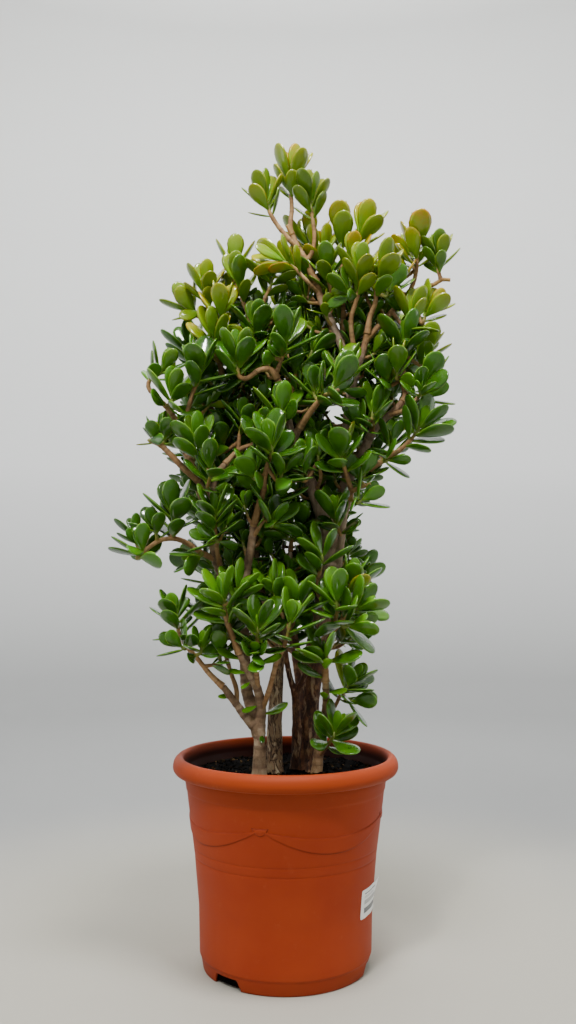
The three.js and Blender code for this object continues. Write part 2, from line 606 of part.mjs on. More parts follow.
// a twig as one closed shape, with a leaf in place of a side face wherever one has grown
function twig(rings, grown) {
  const points = rings.flat();
  const top = points.length - 4;
  const faces = [0, 2, 1, 0, 3, 2, top, top + 1, top + 2, top, top + 2, top + 3];
  for (let ring = 0; ring + 1 < rings.length; ring += 1) {
    for (let side = 0; side < 4; side += 1) {
      const next = (side + 1) % 4;
      const square = [4 * ring + side, 4 * ring + next, 4 * ring + 4 + next, 4 * ring + 4 + side];
      const leaf = grown.find((one) => one.ring === ring - rings.length && one.side === side);
      if (leaf) {
        faces.push(...leafFaces(square, points.length));
        points.push(...leaf.corners);
      } else {
        const [a, b, c, d] = square;
        faces.push(a, b, c, a, c, d);
      }
    }
  }
  return indexed(points, faces);
}

// rosettes carry two crossed pairs of leaves: ring from the top, first side, lean from the axis, length,
// least lean
const leafPairs = [[-2, 0, 27, 0.84, 10], [-3, 1, 55, 1, 31]];
const tries = [[0, 0, 1], [-9, 0, 1], [0, 12, 1], [0, -12, 1], [10, 0, 1], [-15, 0, 0.92], [4, 22, 0.9],
  [4, -22, 0.9], [18, 0, 0.86]]; // changes of lean, turn and length for a leaf that meets another

function overlaps(first, second) {
  for (let i = 0; i < 3; i += 1) {
    if (first.min[i] > second.max[i] || second.min[i] > first.max[i]) return false;
  }
  return true;
}

const placed = []; // everything a leaf has to clear
function keep(body, owner, rosette) {
  placed.push({ body, box: body.boundingBox(), owner, rosette });
}

function clears(body, name, rosette) {
  const box = body.boundingBox();
  for (const other of placed) {
    const own = other.owner === name && (other.rosette === rosette || other.rosette === null);
    if (own || !overlaps(box, other.box)) continue;
    if (!body.intersect(other.body).isEmpty()) return false;
  }
  return true;
}

// pot
const outer = potSection.map(([radius, height]) => new THREE.Vector2(radius, height));
const rim = [[157, 272], [rimRadius, 279], [162, 288.5], [155, potHeight], [148.5, 293.5],
  [rimOpening, 276]].map(([radius, height]) => new THREE.Vector2(radius, height));
const inner = [[141.4, 257], [128.3, 157], [116, potWall], [0, potWall]];
const profile = [new THREE.Vector2(0, 0), ...outer, ...rim,
  ...inner.map(([radius, height]) => new THREE.Vector2(radius, height))];

function outerRadius(height) {
  let radius = potSection[0][0];
  for (let i = 0; i + 1 < potSection.length; i += 1) {
    const [low, high] = [potSection[i], potSection[i + 1]];
    if (height >= low[1]) radius = low[0] + ((high[0] - low[0]) * (height - low[1])) / (high[1] - low[1]);
  }
  return radius;
}

function onPot(turn, height, out = 0) {
  const radius = outerRadius(height) + out;
  return new THREE.Vector3(radius * Math.sin(radians(turn)), -radius * Math.cos(radians(turn)), height);
}

const lathe = new THREE.LatheGeometry(profile, potFacets);
lathe.rotateX(Math.PI / 2);
lathe.rotateZ(radians(firstKnot + 180 / potFacets));
let pot = toSolid(lathe);
if (pot.volume() < 0) throw new Error('pot inside out');
const swagSteps = potFacets / 4;
for (const knot of [0, 90, 180, 270].map((turn) => turn + firstKnot)) {
  const swag = [];
  for (let i = 0; i <= swagSteps; i += 1) {
    const share = i / swagSteps;
    swag.push(onPot(knot + 90 * share, 217 - 31 * 4 * share * (1 - share), 0.2));
  }
  pot = pot.add(tube(swag, swag.map(() => 2), 3));
  const bow = new THREE.OctahedronGeometry(1);
  bow.scale(11, 3.4, 7);
  bow.rotateZ(radians(knot));
  const at = onPot(knot, 221, -0.6);
  bow.translate(at.x, at.y, at.z);
  pot = pot.add(toSolid(bow));
}
for (const turn of [-42, 78, 198]) {
  const shape = new THREE.Shape();
  shape.moveTo(-26, -2);
  shape.lineTo(26, -2);
  shape.lineTo(19, 15);
  shape.lineTo(-19, 15);
  const notch = new THREE.ExtrudeGeometry(shape, { depth: 20, bevelEnabled: false });
  notch.rotateX(Math.PI / 2);
  notch.translate(0, -109, 0);
  notch.rotateZ(radians(turn));
  pot = pot.subtract(toSolid(notch));
}

// stems with their limbs
const stemParts = {};
for (const [name, { foot, limbs }] of Object.entries(stems)) {
  const made = limbs.map(limbOf);
  const base = made[0].path[0];
  const path = [new THREE.Vector3(base.x, base.y, stemFoot), new THREE.Vector3(base.x, base.y, soilTop + 8)];
  const bodies = made.map((limb) => tube(limb.path, limb.radii, sidesFor(limb.radii[0])));
  const first = made[0];
  bodies[0] = tube([...path, ...first.path.slice(1)], [foot, foot, ...first.radii.slice(1)], sidesFor(foot));
  stemParts[name] = { limbs: made, bodies, base, foot };
}

// each branch starts just off the surface of its stem
const branchParts = {};
for (const [name, { on, limbs, rosettes }] of Object.entries(branches)) {
  const made = limbs.map(limbOf);
  const joint = nearest(stemParts[on].limbs, made[0].path[0]);
  made[0].path[0] = joint.point;
  const start = startPlane(joint, made[0], stemParts[on].bodies);
  const along = made[0].path[1].clone().sub(joint.point).normalize();
  slide(made[0].path[0], along, start);
  const grown = rosettes.map(rosetteOf);
  const bodies = [];
  made.forEach((limb, i) => {
    const ending = grown.find(({ base, path }) => !path && base.distanceTo(limb.path.at(-1)) < 12);
    if (!ending) bodies.push(tube(limb.path, limb.radii, 4, i ? null : start));
    else {
      const low = ending.base.clone().addScaledVector(ending.axis, -twigTop * ending.size);
      limb.path = limb.path.filter((point, k) => k === 0 || point.distanceTo(low) > 6);
      Object.assign(ending, { path: [...limb.path], radii: limb.radii, start: i ? null : start });
      limb.path.push(low);
      limb.radii[limb.path.length - 1] = twigRadius;
    }
  });
  for (const rosette of grown.filter(({ path }) => !path)) {
    const side = nearest(made, rosette.base);
    const bend = rosette.base.clone().addScaledVector(rosette.axis, -0.5 * side.away);
    rosette.path = side.away > 22 ? [side.point, bend] : [side.point];
    rosette.radii = [twigRadius + 0.2, twigRadius];
  }
  branchParts[name] = { bodies, rosettes: grown };
}

const group = new THREE.Group();
function addPart(name, body, colour) {
  const material = new THREE.MeshStandardMaterial({ color: colour, roughness: 0.6 });
  const mesh = new THREE.Mesh(toGeometry(body), material);
  mesh.name = name;
  group.add(mesh);
}

addPart('pot', pot, 0xb5532a);
keep(pot, 'pot', null);

// soil with plain holes for the stems
const soilSection = [[0, potWall + gap], [115, potWall + gap], [127.7, 157], [142.3, soilTop - 4],
  [0, soilTop + 1]].map(([radius, z]) => new THREE.Vector2(radius * 0.993, z));
const soilLathe = new THREE.LatheGeometry(soilSection, 18);
soilLathe.rotateX(Math.PI / 2);
let soil = toSolid(soilLathe);
for (const { base, foot } of Object.values(stemParts)) {
  const radius = foot / Math.cos(Math.PI / 8) + 0.35;
  const hole = new THREE.CylinderGeometry(radius, radius, 120, 8);
  hole.rotateX(Math.PI / 2);
  hole.translate(base.x, base.y, stemFoot - gap + 60);
  soil = soil.subtract(toSolid(hole));
}
addPart('soil', soil, 0x1c1410);
keep(soil, 'soil', null);

// sticker wrapped on the right of the pot, one corner lifting
const sticker = new THREE.BoxGeometry(1, 1, 1, 4, 1, 2);
const corners = sticker.attributes.position;
for (let i = 0; i < corners.count; i += 1) {
  const [right, out, high] = [corners.getX(i) + 0.5, 0.5 - corners.getY(i), corners.getZ(i) + 0.5];
  const lift = 6 * Math.max(0, right - 0.55) * Math.max(0, high - 0.3) * 3;
  const point = onPot(55 + 32 * right, 83 + 40 * high, 0.8 + lift + 0.7 * out);
  corners.setXYZ(i, point.x, point.y, point.z);
}
const label = toSolid(sticker);
addPart('label', label, 0xe9e9e4);

for (const [name, { bodies }] of Object.entries(stemParts)) {
  addPart(name, bodies.reduce((body, other) => body.add(other)), name === 'stem_main' ? 0x5a3d28 : 0x8b7153);
  for (const body of bodies) keep(body, name, null);
}

// twigs first, so that every leaf can clear them
const random = makeRandom(20);
for (const [name, { bodies, rosettes }] of Object.entries(branchParts)) {
  for (const body of bodies) keep(body, name, null);
  for (const rosette of rosettes) {
    rosette.turn = random() * 90;
    rosette.rings = twigRings(rosette);
    rosette.grown = [];
    keep(twig(rosette.rings, []), name, rosette);
  }
}

// one leaf as it would grow, with a roomier solid that has to clear everything else
function growLeaf(rosette, [ring, , lean, share, least], side, draws, [leanMore, turnMore, shorter]) {
  const out = outward(rosette, rosette.turn + 90 * side + draws[0] * 16 + turnMore);
  const closing = 1.02 - 0.0006 * THREE.MathUtils.clamp(rosette.base.z - 450, 0, 650); // rosettes close up to the crown
  const tip = radians(Math.max(least, lean * closing + draws[1] * 14 + leanMore));
  const along = out.clone().multiplyScalar(Math.sin(tip));
  along.addScaledVector(rosette.axis, Math.cos(tip));
  const face = rosette.axis.clone().multiplyScalar(Math.sin(tip));
  face.addScaledVector(out, -Math.cos(tip));
  const length = leafLength * rosette.size * share * shorter * (1 + draws[2] * 0.16);
  const [width, thick] = [length * leafWidth, length * leafThick];
  const next = (side + 1) % 4;
  const [low, high] = [rosette.rings.at(ring), rosette.rings.at(ring + 1)];
  const square = [low[side], low[next], high[next], high[side]];
  const root = new THREE.Vector3();
  for (const corner of square) root.addScaledVector(corner, 0.25);
  const roomy = leafCorners(root, along, face, length + 0.8, width + 1.2, thick + 1);
  const room = indexed([...square, ...roomy], [0, 2, 1, 0, 3, 2, ...leafFaces([0, 1, 2, 3], 4)]);
  return { ring, side, room, corners: leafCorners(root, along, face, length, width, thick) };
}

// leaves, each turned or shortened a little where it would meet something, left out where it still does
for (const [name, { rosettes }] of Object.entries(branchParts)) {
  for (const rosette of rosettes) {
    for (const pair of leafPairs) {
      for (const side of [pair[1], pair[1] + 2]) {
        const draws = [random() - 0.5, random() - 0.5, random() - 0.5];
        for (const change of tries) {
          const leaf = growLeaf(rosette, pair, side, draws, change);
          if (!clears(leaf.room, name, rosette)) continue;
          rosette.grown.push(leaf);
          keep(leaf.room, name, rosette);
          break;
        }
      }
    }
  }
}

for (const [name, { bodies, rosettes }] of Object.entries(branchParts)) {
  const all = [...bodies, ...rosettes.map(({ rings, grown }) => twig(rings, grown))];
  addPart(name, all.reduce((body, other) => body.add(other)), 0x4f7d1f);
}

export default group;
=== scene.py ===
import functools
import itertools
import math
import random

import bmesh
import bpy
from mathutils import Matrix, Vector, noise
from mathutils.bvhtree import BVHTree
from mathutils.kdtree import KDTree


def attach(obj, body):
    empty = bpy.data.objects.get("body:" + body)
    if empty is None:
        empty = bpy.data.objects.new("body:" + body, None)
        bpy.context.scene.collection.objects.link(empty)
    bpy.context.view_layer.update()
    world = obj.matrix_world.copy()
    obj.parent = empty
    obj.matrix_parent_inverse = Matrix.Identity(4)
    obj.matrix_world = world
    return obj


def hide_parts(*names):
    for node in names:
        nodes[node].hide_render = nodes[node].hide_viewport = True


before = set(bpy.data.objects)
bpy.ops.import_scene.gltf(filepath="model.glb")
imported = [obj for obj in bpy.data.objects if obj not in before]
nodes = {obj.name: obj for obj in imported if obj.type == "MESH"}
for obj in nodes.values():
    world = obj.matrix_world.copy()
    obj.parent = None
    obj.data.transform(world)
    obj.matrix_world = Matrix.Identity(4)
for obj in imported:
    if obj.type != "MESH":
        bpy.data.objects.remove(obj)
bpy.ops.object.select_all(action="DESELECT")
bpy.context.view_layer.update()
mm = 0.001

# the camera stands 1.4 m in front of the plant and looks a little up
shot = {"place": (3.4, -1444, 561), "pitch": 3.46, "lens": 34.4, "sensor": 36}

bpy.ops.object.camera_add(location=[v * mm for v in shot["place"]],
                          rotation=(math.radians(90 + shot["pitch"]), 0, 0))
camera = bpy.context.object
camera.name = "camera"
camera.data.lens = shot["lens"]
camera.data.sensor_width = shot["sensor"]
camera.data.sensor_fit = "AUTO"
bpy.context.scene.camera = camera
print("camera placed")


def smoothstep(low, high, value):
    t = min(1, max(0, (value - low) / (high - low)))
    return t * t * (3 - 2 * t)


def bell(away, width):
    return math.exp(-(away / width) ** 2)


def pickOnly(*objects):
    bpy.ops.object.select_all(action="DESELECT")
    for obj in objects:
        obj.select_set(True)
    bpy.context.view_layer.objects.active = objects[0]


def joined(objects, name):
    pickOnly(*objects)
    if len(objects) > 1:
        bpy.ops.object.join()
    obj = bpy.context.object
    obj.name = obj.data.name = name
    return obj


def applyModifier(kind, **settings):
    obj = bpy.context.object
    bpy.ops.object.modifier_add(type=kind)
    modifier = obj.modifiers[-1]
    for key, value in settings.items():
        setattr(modifier, key, value)
    bpy.ops.object.modifier_apply(modifier=modifier.name)


def closeAndTurnOut():
    bpy.ops.object.mode_set(mode="EDIT")
    bpy.ops.mesh.select_all(action="SELECT")
    bpy.ops.mesh.remove_doubles(threshold=0.02 * mm)
    bpy.ops.mesh.normals_make_consistent(inside=False)
    bpy.ops.object.mode_set(mode="OBJECT")


# a copy with its own mesh, moved by its vertices
def copyOf(master, matrix):
    obj = bpy.data.objects.new(master.name, master.data.copy())
    obj.data.transform(matrix)
    bpy.context.scene.collection.objects.link(obj)
    return obj


# each value is a list for the vertices, or one number for all of them
def setAttributes(obj, **attributes):
    data = obj.data
    for name, values in attributes.items():
        if not isinstance(values, list):
            values = [values] * len(data.vertices)
        attribute = data.attributes.get(name) or data.attributes.new(name, "FLOAT", "POINT")
        attribute.data.foreach_set("value", values)


def treeOf(points):
    tree = KDTree(len(points))
    for i, point in enumerate(points):
        tree.insert(point, i)
    tree.balance()
    return tree


def finished(obj, material, slot, *replaced):
    pickOnly(obj)
    bpy.ops.object.shade_smooth()
    obj.data.materials.clear()
    obj.data.materials.append(material)
    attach(obj, "root")
    if replaced:
        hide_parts(*replaced)


def toLinear(code):
    values = [int(code[i:i + 2], 16) / 255 for i in (1, 3, 5)]
    return [v / 12.92 if v <= 0.04045 else ((v + 0.055) / 1.055) ** 2.4 for v in values] + [1]


# adds a node; an input is a number, a hex colour or the output of another node, by key or in a row
def addNode(tree, kind, inputs=(), out=None, stops=(), **settings):
    node = tree.nodes.new("ShaderNode" + kind)
    for key, value in settings.items():
        setattr(node, key, value)
    for key, value in inputs.items() if isinstance(inputs, dict) else enumerate(inputs):
        if isinstance(value, bpy.types.NodeSocket):
            tree.links.new(value, node.inputs[key])
        else:
            node.inputs[key].default_value = toLinear(value) if isinstance(value, str) else value
    for i, (position, colour) in enumerate(stops):
        elements = node.color_ramp.elements
        element = elements[i] if i < 2 else elements.new(position)
        element.position = position
        element.color = toLinear(colour)
    return node.outputs[out] if out else next((o for o in node.outputs if o.enabled), None)


# "describe" adds the nodes of a material and returns what goes into its shader
def newMaterial(name, describe, *about):
    material = bpy.data.materials.new(name)
    material.use_nodes = True
    material.node_tree.nodes.clear()
    add = functools.partial(addNode, material.node_tree)
    add("OutputMaterial", [add("BsdfPrincipled", describe(add, *about))])
    return material


def cells(size):
    return 1 / (size * mm)  # scale of a pattern whose cells are this many mm


pot = {
    "sides": 208,
    # outside wall, rolled rim and inside wall: radius and height
    "wall": [(119, 2.5), (121.4, 16.5), (123.6, 21.5), (125.1, 87), (131.6, 158), (144.1, 255),
             (146.6, 270)],
    "rim": [(146.6, 270), (151, 271.5), (158.5, 272.3), (162.4, 277), (163, 282.5), (161, 290),
            (156.2, 294.9), (152.3, 295.8), (149, 293.8), (147.2, 287.5), (146.3, 276)],
    "inside": [(141.2, 257), (128.1, 157), (115.8, 3)],
    "foot": [(2, 0), (60, 0), (116, 0), (118.2, 0.6)],
    "floor": [(112, 3), (60, 3), (2, 3)],
    "rows": {"wall": 5.63, "groove": 0.55, "least": 0.3},  # mm from one row of faces to the next
    "grooves": [(157, 0.55, 1.3), (170, 0.5, 1.3), (19, 0.35, 1.6)],  # height, depth, half width
    "ledge": {"height": 249, "out": 0.8},  # the wall above stands this much further out
    "skin": 1.5,  # what lies this far inside the wall is the inside
    "creaseShade": 0.32, "insideShade": (0.93, 294, 280),  # painted shade of a groove; painted shade of the inside, from rim to soil
    # cloth between knots, in degrees round the pot: height at a knot and how far it hangs down
    "swags": {"knots": (-14, 76, 166, 256), "upper": (219, 9.5), "lower": (216, 31),
              "raised": 1.3, "sunk": 0.6, "fold": 0.35, "folds": 3, "start": 3, "wide": 84,
              "creaseShades": (1.1, 0.6),  # painted shade along its lower and upper edge
              "columns": 64, "rows": (0, 0.05, 0.12, 0.3, 0.5, 0.7, 0.88, 0.95, 1)},
    # the last pair of a bow is how strong the painted shade under and over it is
    "bows": {"half": 12.4, "high": 5.6, "wings": 6.2, "down": 1.5, "out": 2.4, "sunk": 0.4,
             "radius": 140, "creaseShades": (2.1, 1.3)},
    "notches": {"turns": (-42, 78, 198), "low": 52, "top": 38, "height": 15, "under": -3,
                "radius": 119, "deep": 22, "round": 1.6},
    # patterns: size in mm, detail and roughness
    "patterns": ((70, 3, 0.5), (1.1, 2, 0.5), (16, 7, 0.75)),
}


def wallRadius(height):
    wall = pot["wall"]
    radius = wall[0][0]
    for (r0, z0), (r1, z1) in zip(wall, wall[1:]):
        if height >= z0:
            radius = r0 + (r1 - r0) * (height - z0) / (z1 - z0)
    for at, depth, width in pot["grooves"]:
        radius -= depth * bell(height - at, width)
    ledge = pot["ledge"]
    return radius - 0.5 * ledge["out"] * (1 - 2 * smoothstep(-2, 2, height - ledge["height"]))


def onPot(turn, height, out=0):
    turn = math.radians(turn)
    radius = wallRadius(height) + out
    return Vector((radius * math.sin(turn), -radius * math.cos(turn), height)) * mm


# smooth line through points, with values that go along; steps are about as long as asked
def smoothLine(points, step):
    line = []
    for i in range(len(points) - 1):
        before, start = points[max(0, i - 1)], points[i]
        end, after = points[i + 1], points[min(len(points) - 1, i + 2)]
        steps = max(1, round((Vector(end[:3]) - Vector(start[:3])).length / step))
        for k in range(steps):
            t = k / steps
            weights = (-t + 2 * t * t - t ** 3, 2 - 5 * t * t + 3 * t ** 3,
                       t + 4 * t * t - 3 * t ** 3, t ** 3 - t * t)
            line.append(tuple(sum(w * v for w, v in zip(weights, values)) / 2
                              for values in zip(before, start, end, after)))
    line.append(tuple(points[-1]))
    return line


# injection-moulded polypropylene: an even clay red with a soft wide sheen and faint pebbling
def mouldedPolypropylene(add):
    place = add("TexCoord", out="Object")
    height = add("SeparateXYZ", [place], "Z")
    creaseShade, insideShade = [add("Attribute", out="Fac", attribute_name=own)
                     for own in ("potCrease", "potStain")]
    cloud, pebble, scuff = [
        add("TexNoise", {"Vector": place, "Scale": cells(size), "Detail": detail,
                         "Roughness": rough}, "Fac") for size, detail, rough in pot["patterns"]]
    body = add("ValToRGB", [cloud], stops=[(0.3, "#983517"), (0.7, "#a03c1a")])
    # painted light: the band at the top, round the rim, is coloured after the light it catches
    top = add("MapRange", [height, 0.21, 0.285], interpolation_type="SMOOTHSTEP")
    scuff = add("MapRange", [scuff, 0.6, 0.75, 0, 0.12])
    # painted shade in the creases and grooves
    creaseShade = add("Math", [creaseShade, 0.45], operation="MULTIPLY")
    foot = add("MapRange", [height, 0.035, 0, 0, 0.6])
    foot = add("Math", [foot, cloud], operation="MULTIPLY")
    # top band coloured after the lit rim as painted light, pale scuffs, painted shade in the
    # creases and on the inside, a darker mottled foot
    for share, layer in ((top, "#983a15"), (scuff, "#cf7745"), (creaseShade, "#4d1405"),
                         (insideShade, "#1c0603"), (foot, "#6d3016")):
        body = add("Mix", {0: share, 6: body, 7: layer}, data_type="RGBA")
    rough = add("MapRange", [cloud, 0.3, 0.7, 0.48, 0.58])
    bump = add("Bump", {"Strength": 0.12, "Distance": 0.3 * mm, "Height": pebble})
    return {"Base Color": body, "Roughness": rough, "Normal": bump, "IOR": 1.49,
            "Specular IOR Level": 0.14}


def turnedOutline():
    low, top, rows = pot["wall"][0][1], pot["wall"][-1][1], pot["rows"]
    ledge = pot["ledge"]["height"]
    heights = {low + rows["wall"] * k for k in range(48)} | set(range(ledge - 2, ledge + 3))
    heights |= {at + k * rows["groove"] for at, *_ in pot["grooves"] for k in range(-6, 7)}
    heights = sorted(heights)
    heights = [z for i, z in enumerate(heights)
               if z < top and (i == 0 or z - heights[i - 1] > rows["least"])]
    outline = pot["foot"] + [(wallRadius(z), z) for z in heights] + smoothLine(pot["rim"], 1.6)
    outline += smoothLine([pot["rim"][-1]] + pot["inside"][:2], 9)[1:] + [pot["inside"][2]]
    return outline + pot["floor"]


# outline turned into a closed shell, one row of faces after another
def turned(name, outline, sides):
    radius, height = outline[0]
    bpy.ops.mesh.primitive_circle_add(vertices=sides, radius=radius * mm,
                                      location=(0, 0, height * mm), fill_type="NGON")
    bpy.ops.object.transform_apply()
    bpy.ops.object.mode_set(mode="EDIT")
    bpy.ops.mesh.select_all(action="SELECT")
    for (r0, z0), (r1, z1) in zip(outline, outline[1:]):
        bpy.ops.mesh.extrude_region_move(
            TRANSFORM_OT_translate={"value": (0, 0, (z1 - z0) * mm)})
        bpy.ops.transform.resize(value=(r1 / r0, r1 / r0, 1), center_override=(0, 0, z1 * mm))
    bpy.ops.object.mode_set(mode="OBJECT")
    obj = bpy.context.object
    obj.name = name
    closeAndTurnOut()
    return obj


def swagHeight(which, share):
    knot, drop = pot["swags"][which]
    return knot - drop * 4 * share * (1 - share)


# cloth drawn up between two knots, standing out of the wall, with painted shade along its thin
# edges
def makeSwag(knot):
    look = pot["swags"]
    rows = look["rows"]
    bpy.ops.mesh.primitive_grid_add(x_subdivisions=look["columns"],
                                    y_subdivisions=len(rows) - 1, size=1)
    swag = bpy.context.object
    creaseShade, (lower, upper) = [], look["creaseShades"]
    for vertex in swag.data.vertices:
        share = vertex.co.x + 0.5
        row = rows[round((vertex.co.y + 0.5) * (len(rows) - 1))]
        low, high = swagHeight("lower", share), swagHeight("upper", share)
        edge = 1 - min(1, abs(row * 2 - 1) ** 6)
        fold = look["fold"] * math.sin(row * look["folds"] * math.pi)
        fold *= math.sin(share * math.pi)
        out = -look["sunk"] + (look["raised"] + look["sunk"] + fold) * edge ** 0.3
        turn = knot + look["start"] + look["wide"] * share
        vertex.co = onPot(turn, low + (high - low) * row, out)
        creaseShade.append(lower if row < 0.1 else upper if row > 0.9 else 0.0)
    setAttributes(swag, potCrease=creaseShade)
    return swag


# small bow over a knot: two upright corners and a rounded middle
def makeBow(knot):
    bpy.ops.mesh.primitive_uv_sphere_add(segments=24, ring_count=12, radius=1)
    bow, look = bpy.context.object, pot["bows"]
    creaseShade = []
    for vertex in bow.data.vertices:
        x, y, z = vertex.co
        wing = abs(x) ** 1.5
        high = look["high"] * z * (1 - 0.5 * wing) + look["wings"] * wing * abs(x) - look["down"]
        out = look["out"] * -y * (1 - 0.3 * wing) - look["sunk"]
        turn = knot + math.degrees(look["half"] * x / look["radius"])
        vertex.co = onPot(turn, pot["swags"]["upper"][0] + high, out)
        # painted shade round the bow, deeper under it
        creaseShade.append(smoothstep(1.1, 0.2, out) * look["creaseShades"][z >= 0])
    setAttributes(bow, potCrease=creaseShade)
    return bow


def makePot():
    shell = turned("pot_body", turnedOutline(), pot["sides"])
    cut = pot["notches"]
    for turn in cut["turns"]:
        bpy.ops.mesh.primitive_cube_add(size=1)
        cutter = bpy.context.object
        for vertex in cutter.data.vertices:
            x, y, z = vertex.co
            wide, high = (cut["top"], cut["height"]) if z > 0 else (cut["low"], cut["under"])
            vertex.co = Vector((x * wide, -cut["radius"] + y * cut["deep"], high)) * mm
        cutter.data.transform(Matrix.Rotation(math.radians(turn), 4, "Z"))
        bpy.ops.object.mode_set(mode="EDIT")
        bpy.ops.mesh.select_all(action="DESELECT")
        mesh = bmesh.from_edit_mesh(cutter.data)
        for edge in mesh.edges:  # all but its four slanting ones are rounded
            edge.select_set(all(v.co.z > 0 for v in edge.verts)
                            or edge.calc_length() > (cut["deep"] - 1) * mm)
        bpy.ops.mesh.bevel(offset=cut["round"] * mm, segments=3)
        bpy.ops.object.mode_set(mode="OBJECT")
        pickOnly(shell)
        applyModifier("BOOLEAN", operation="DIFFERENCE", solver="EXACT", object=cutter)
        bpy.data.objects.remove(cutter)
    creaseShade, insideShade = [], []
    shadeStrength, rim, bed = pot["insideShade"]
    for vertex in shell.data.vertices:
        height = vertex.co.z / mm
        outside = vertex.co.xy.length / mm > wallRadius(height) - pot["skin"]
        # painted shade along the grooves of the outside wall
        depth = max(bell(height - at, 0.8 * width) for at, _, width in pot["grooves"])
        creaseShade.append(depth * pot["creaseShade"] if outside else 0.0)
        insideShade.append(0.0 if outside else shadeStrength * smoothstep(rim, bed, height))
    setAttributes(shell, potCrease=creaseShade, potStain=insideShade)  # painted shade darkens the inside wall, from the rim down to the soil
    parts = [shell]
    for knot in pot["swags"]["knots"]:
        parts += [makeSwag(knot), makeBow(knot)]
    return joined(parts, "pot_body")


pottery = newMaterial("mouldedPolypropylene", mouldedPolypropylene)
finished(makePot(), pottery, "pot", "pot")
print("pot made")


soil = {
    "sides": 120, "radius": 142.3, "top": 270, "crown": 1.5,  # the middle stands a little higher
    "under": [(2, 3.4), (60, 3.4), (114, 3.4), (126.6, 157)],  # radius and height
    "lumps": (22, 3.2), "clods": (7, 1.7),  # size and height
    "edge": 22, "dip": 3.5, "calm": 0.35,  # width and depth of the dip at the wall
    # number, size and paleness
    "strewn": {"crumbs": (900, (1.6, 1.3, 1.1), 0.0), "chips": (170, (4.6, 2.2, 0.9), 0.12),
               "flecks": (60, (2.0, 1.5, 0.8), 0.75)},
    "vary": {"lumps": 0.5, "tilt": 0.7, "size": (0.5, 1.5), "pale": (0.3, 1.2)},
    "reach": 0.97, "raised": 0.3,  # how far out they lie, and how far up by their thickness
    "fibre": 5, "grain": 2.2, "seed": 5,
}


# damp peat potting mix: nearly black and dull, broken up by brown fibre and pale flecks
def pottingMix(add):
    place = add("TexCoord", out="Object")
    fibre = add("TexNoise", {"Vector": place, "Scale": cells(soil["fibre"]), "Detail": 6,
                             "Roughness": 0.7}, "Fac")
    colour = add("ValToRGB", [fibre], stops=[(0.36, "#020101"), (0.6, "#060402"),
                                             (0.8, "#160d07")])
    pale = add("Attribute", out="Fac", attribute_name="soilPale")
    colour = add("Mix", {0: pale, 6: colour, 7: "#8f7048"}, data_type="RGBA")
    grain = add("TexVoronoi", {"Vector": place, "Scale": cells(soil["grain"])})
    bump = add("Bump", {"Strength": 0.7, "Distance": 1.2 * mm, "Height": grain})
    return {"Base Color": colour, "Roughness": 0.9, "Normal": bump, "Specular IOR Level": 0.05}


def soilHeight(x, y):
    at = Vector((x, y, 0))
    edge = smoothstep(soil["radius"], soil["radius"] - soil["edge"], at.length)
    rise = sum(noise.noise(at / size) * high for size, high in (soil["lumps"], soil["clods"]))
    dip, calm = soil["dip"], soil["calm"]
    return soil["top"] - dip + (dip + soil["crown"]) * edge + rise * (calm + (1 - calm) * edge)


def makeSoil():
    top = soil["radius"] * 0.992
    outline = soil["under"] + [(top, soil["top"] - 6)]
    outline += [(top - 3.3 * k, soil["top"]) for k in range(42)]
    bed = turned("soil_bed", outline, soil["sides"])
    for vertex in bed.data.vertices:
        if vertex.co.z > (soil["top"] - 1) * mm:
            vertex.co.z = soilHeight(vertex.co.x / mm, vertex.co.y / mm) * mm
    return bed


# a crumb, a chip of bark and a fleck, each shaped once and strewn over the bed
def makeCrumbs():
    pick, vary = random.Random(soil["seed"]), soil["vary"]
    strewn = []
    for kind, (number, size, pale) in soil["strewn"].items():
        bpy.ops.mesh.primitive_ico_sphere_add(subdivisions=1, radius=1)
        master = bpy.context.object
        for vertex in master.data.vertices:
            lump = noise.noise(vertex.co * 1.7 + Vector((len(kind), 0, pale * 9)))
            vertex.co *= 1 + vary["lumps"] * lump
        for _ in range(number):
            radius = soil["radius"] * soil["reach"] * math.sqrt(pick.random())
            turn = pick.random() * 2 * math.pi
            x, y = radius * math.cos(turn), radius * math.sin(turn)
            tilt = [Matrix.Rotation(pick.uniform(-vary["tilt"], vary["tilt"]), 4, axis)
                    for axis in "XY"]
            grow = pick.uniform(*vary["size"])
            shape = Matrix.Diagonal([s * mm * grow for s in size] + [1])
            high = soilHeight(x, y) + size[2] * grow * soil["raised"]
            spin = Matrix.Rotation(pick.random() * 6.28, 4, "Z")
            move = Matrix.Translation(Vector((x, y, high)) * mm)
            copy = copyOf(master, move @ spin @ (tilt[0] @ tilt[1]) @ shape)
            setAttributes(copy, soilPale=pale * pick.uniform(*vary["pale"]))
            strewn.append(copy)
        bpy.data.objects.remove(master)
    return joined(strewn, "soil_crumbs")


peat = newMaterial("pottingMix", pottingMix)
finished(makeSoil(), peat, "soil", "soil")
finished(makeCrumbs(), peat, "soil")
print("soil made")


label = {
    "turn": 55, "width": 32, "low": 83, "high": 40,  # in degrees round the pot, and mm
    "radius": 127, "off": 0.45,  # of the wall behind it, and how far off it the sheet stands
    "thick": 0.3, "columns": 32, "rows": 20, "round": 2.4, "fibre": 4,
    "curl": {"right": 0.55, "high": 0.3, "out": 18},  # the corner beyond these shares lifts off
    "buckle": {"out": 0.5, "waves": 9},  # of the lower half
    # grey blocks of ink: left, right, bottom, top and depth
    "ink": [(0.12, 0.72, 0.83, 0.865, 0.9), (0.12, 0.55, 0.745, 0.765, 0.6),
            (0.12, 0.66, 0.7, 0.72, 0.6), (0.12, 0.84, 0.48, 0.63, 0.5),
            (0.12, 0.84, 0.18, 0.36, 0.9)],
}


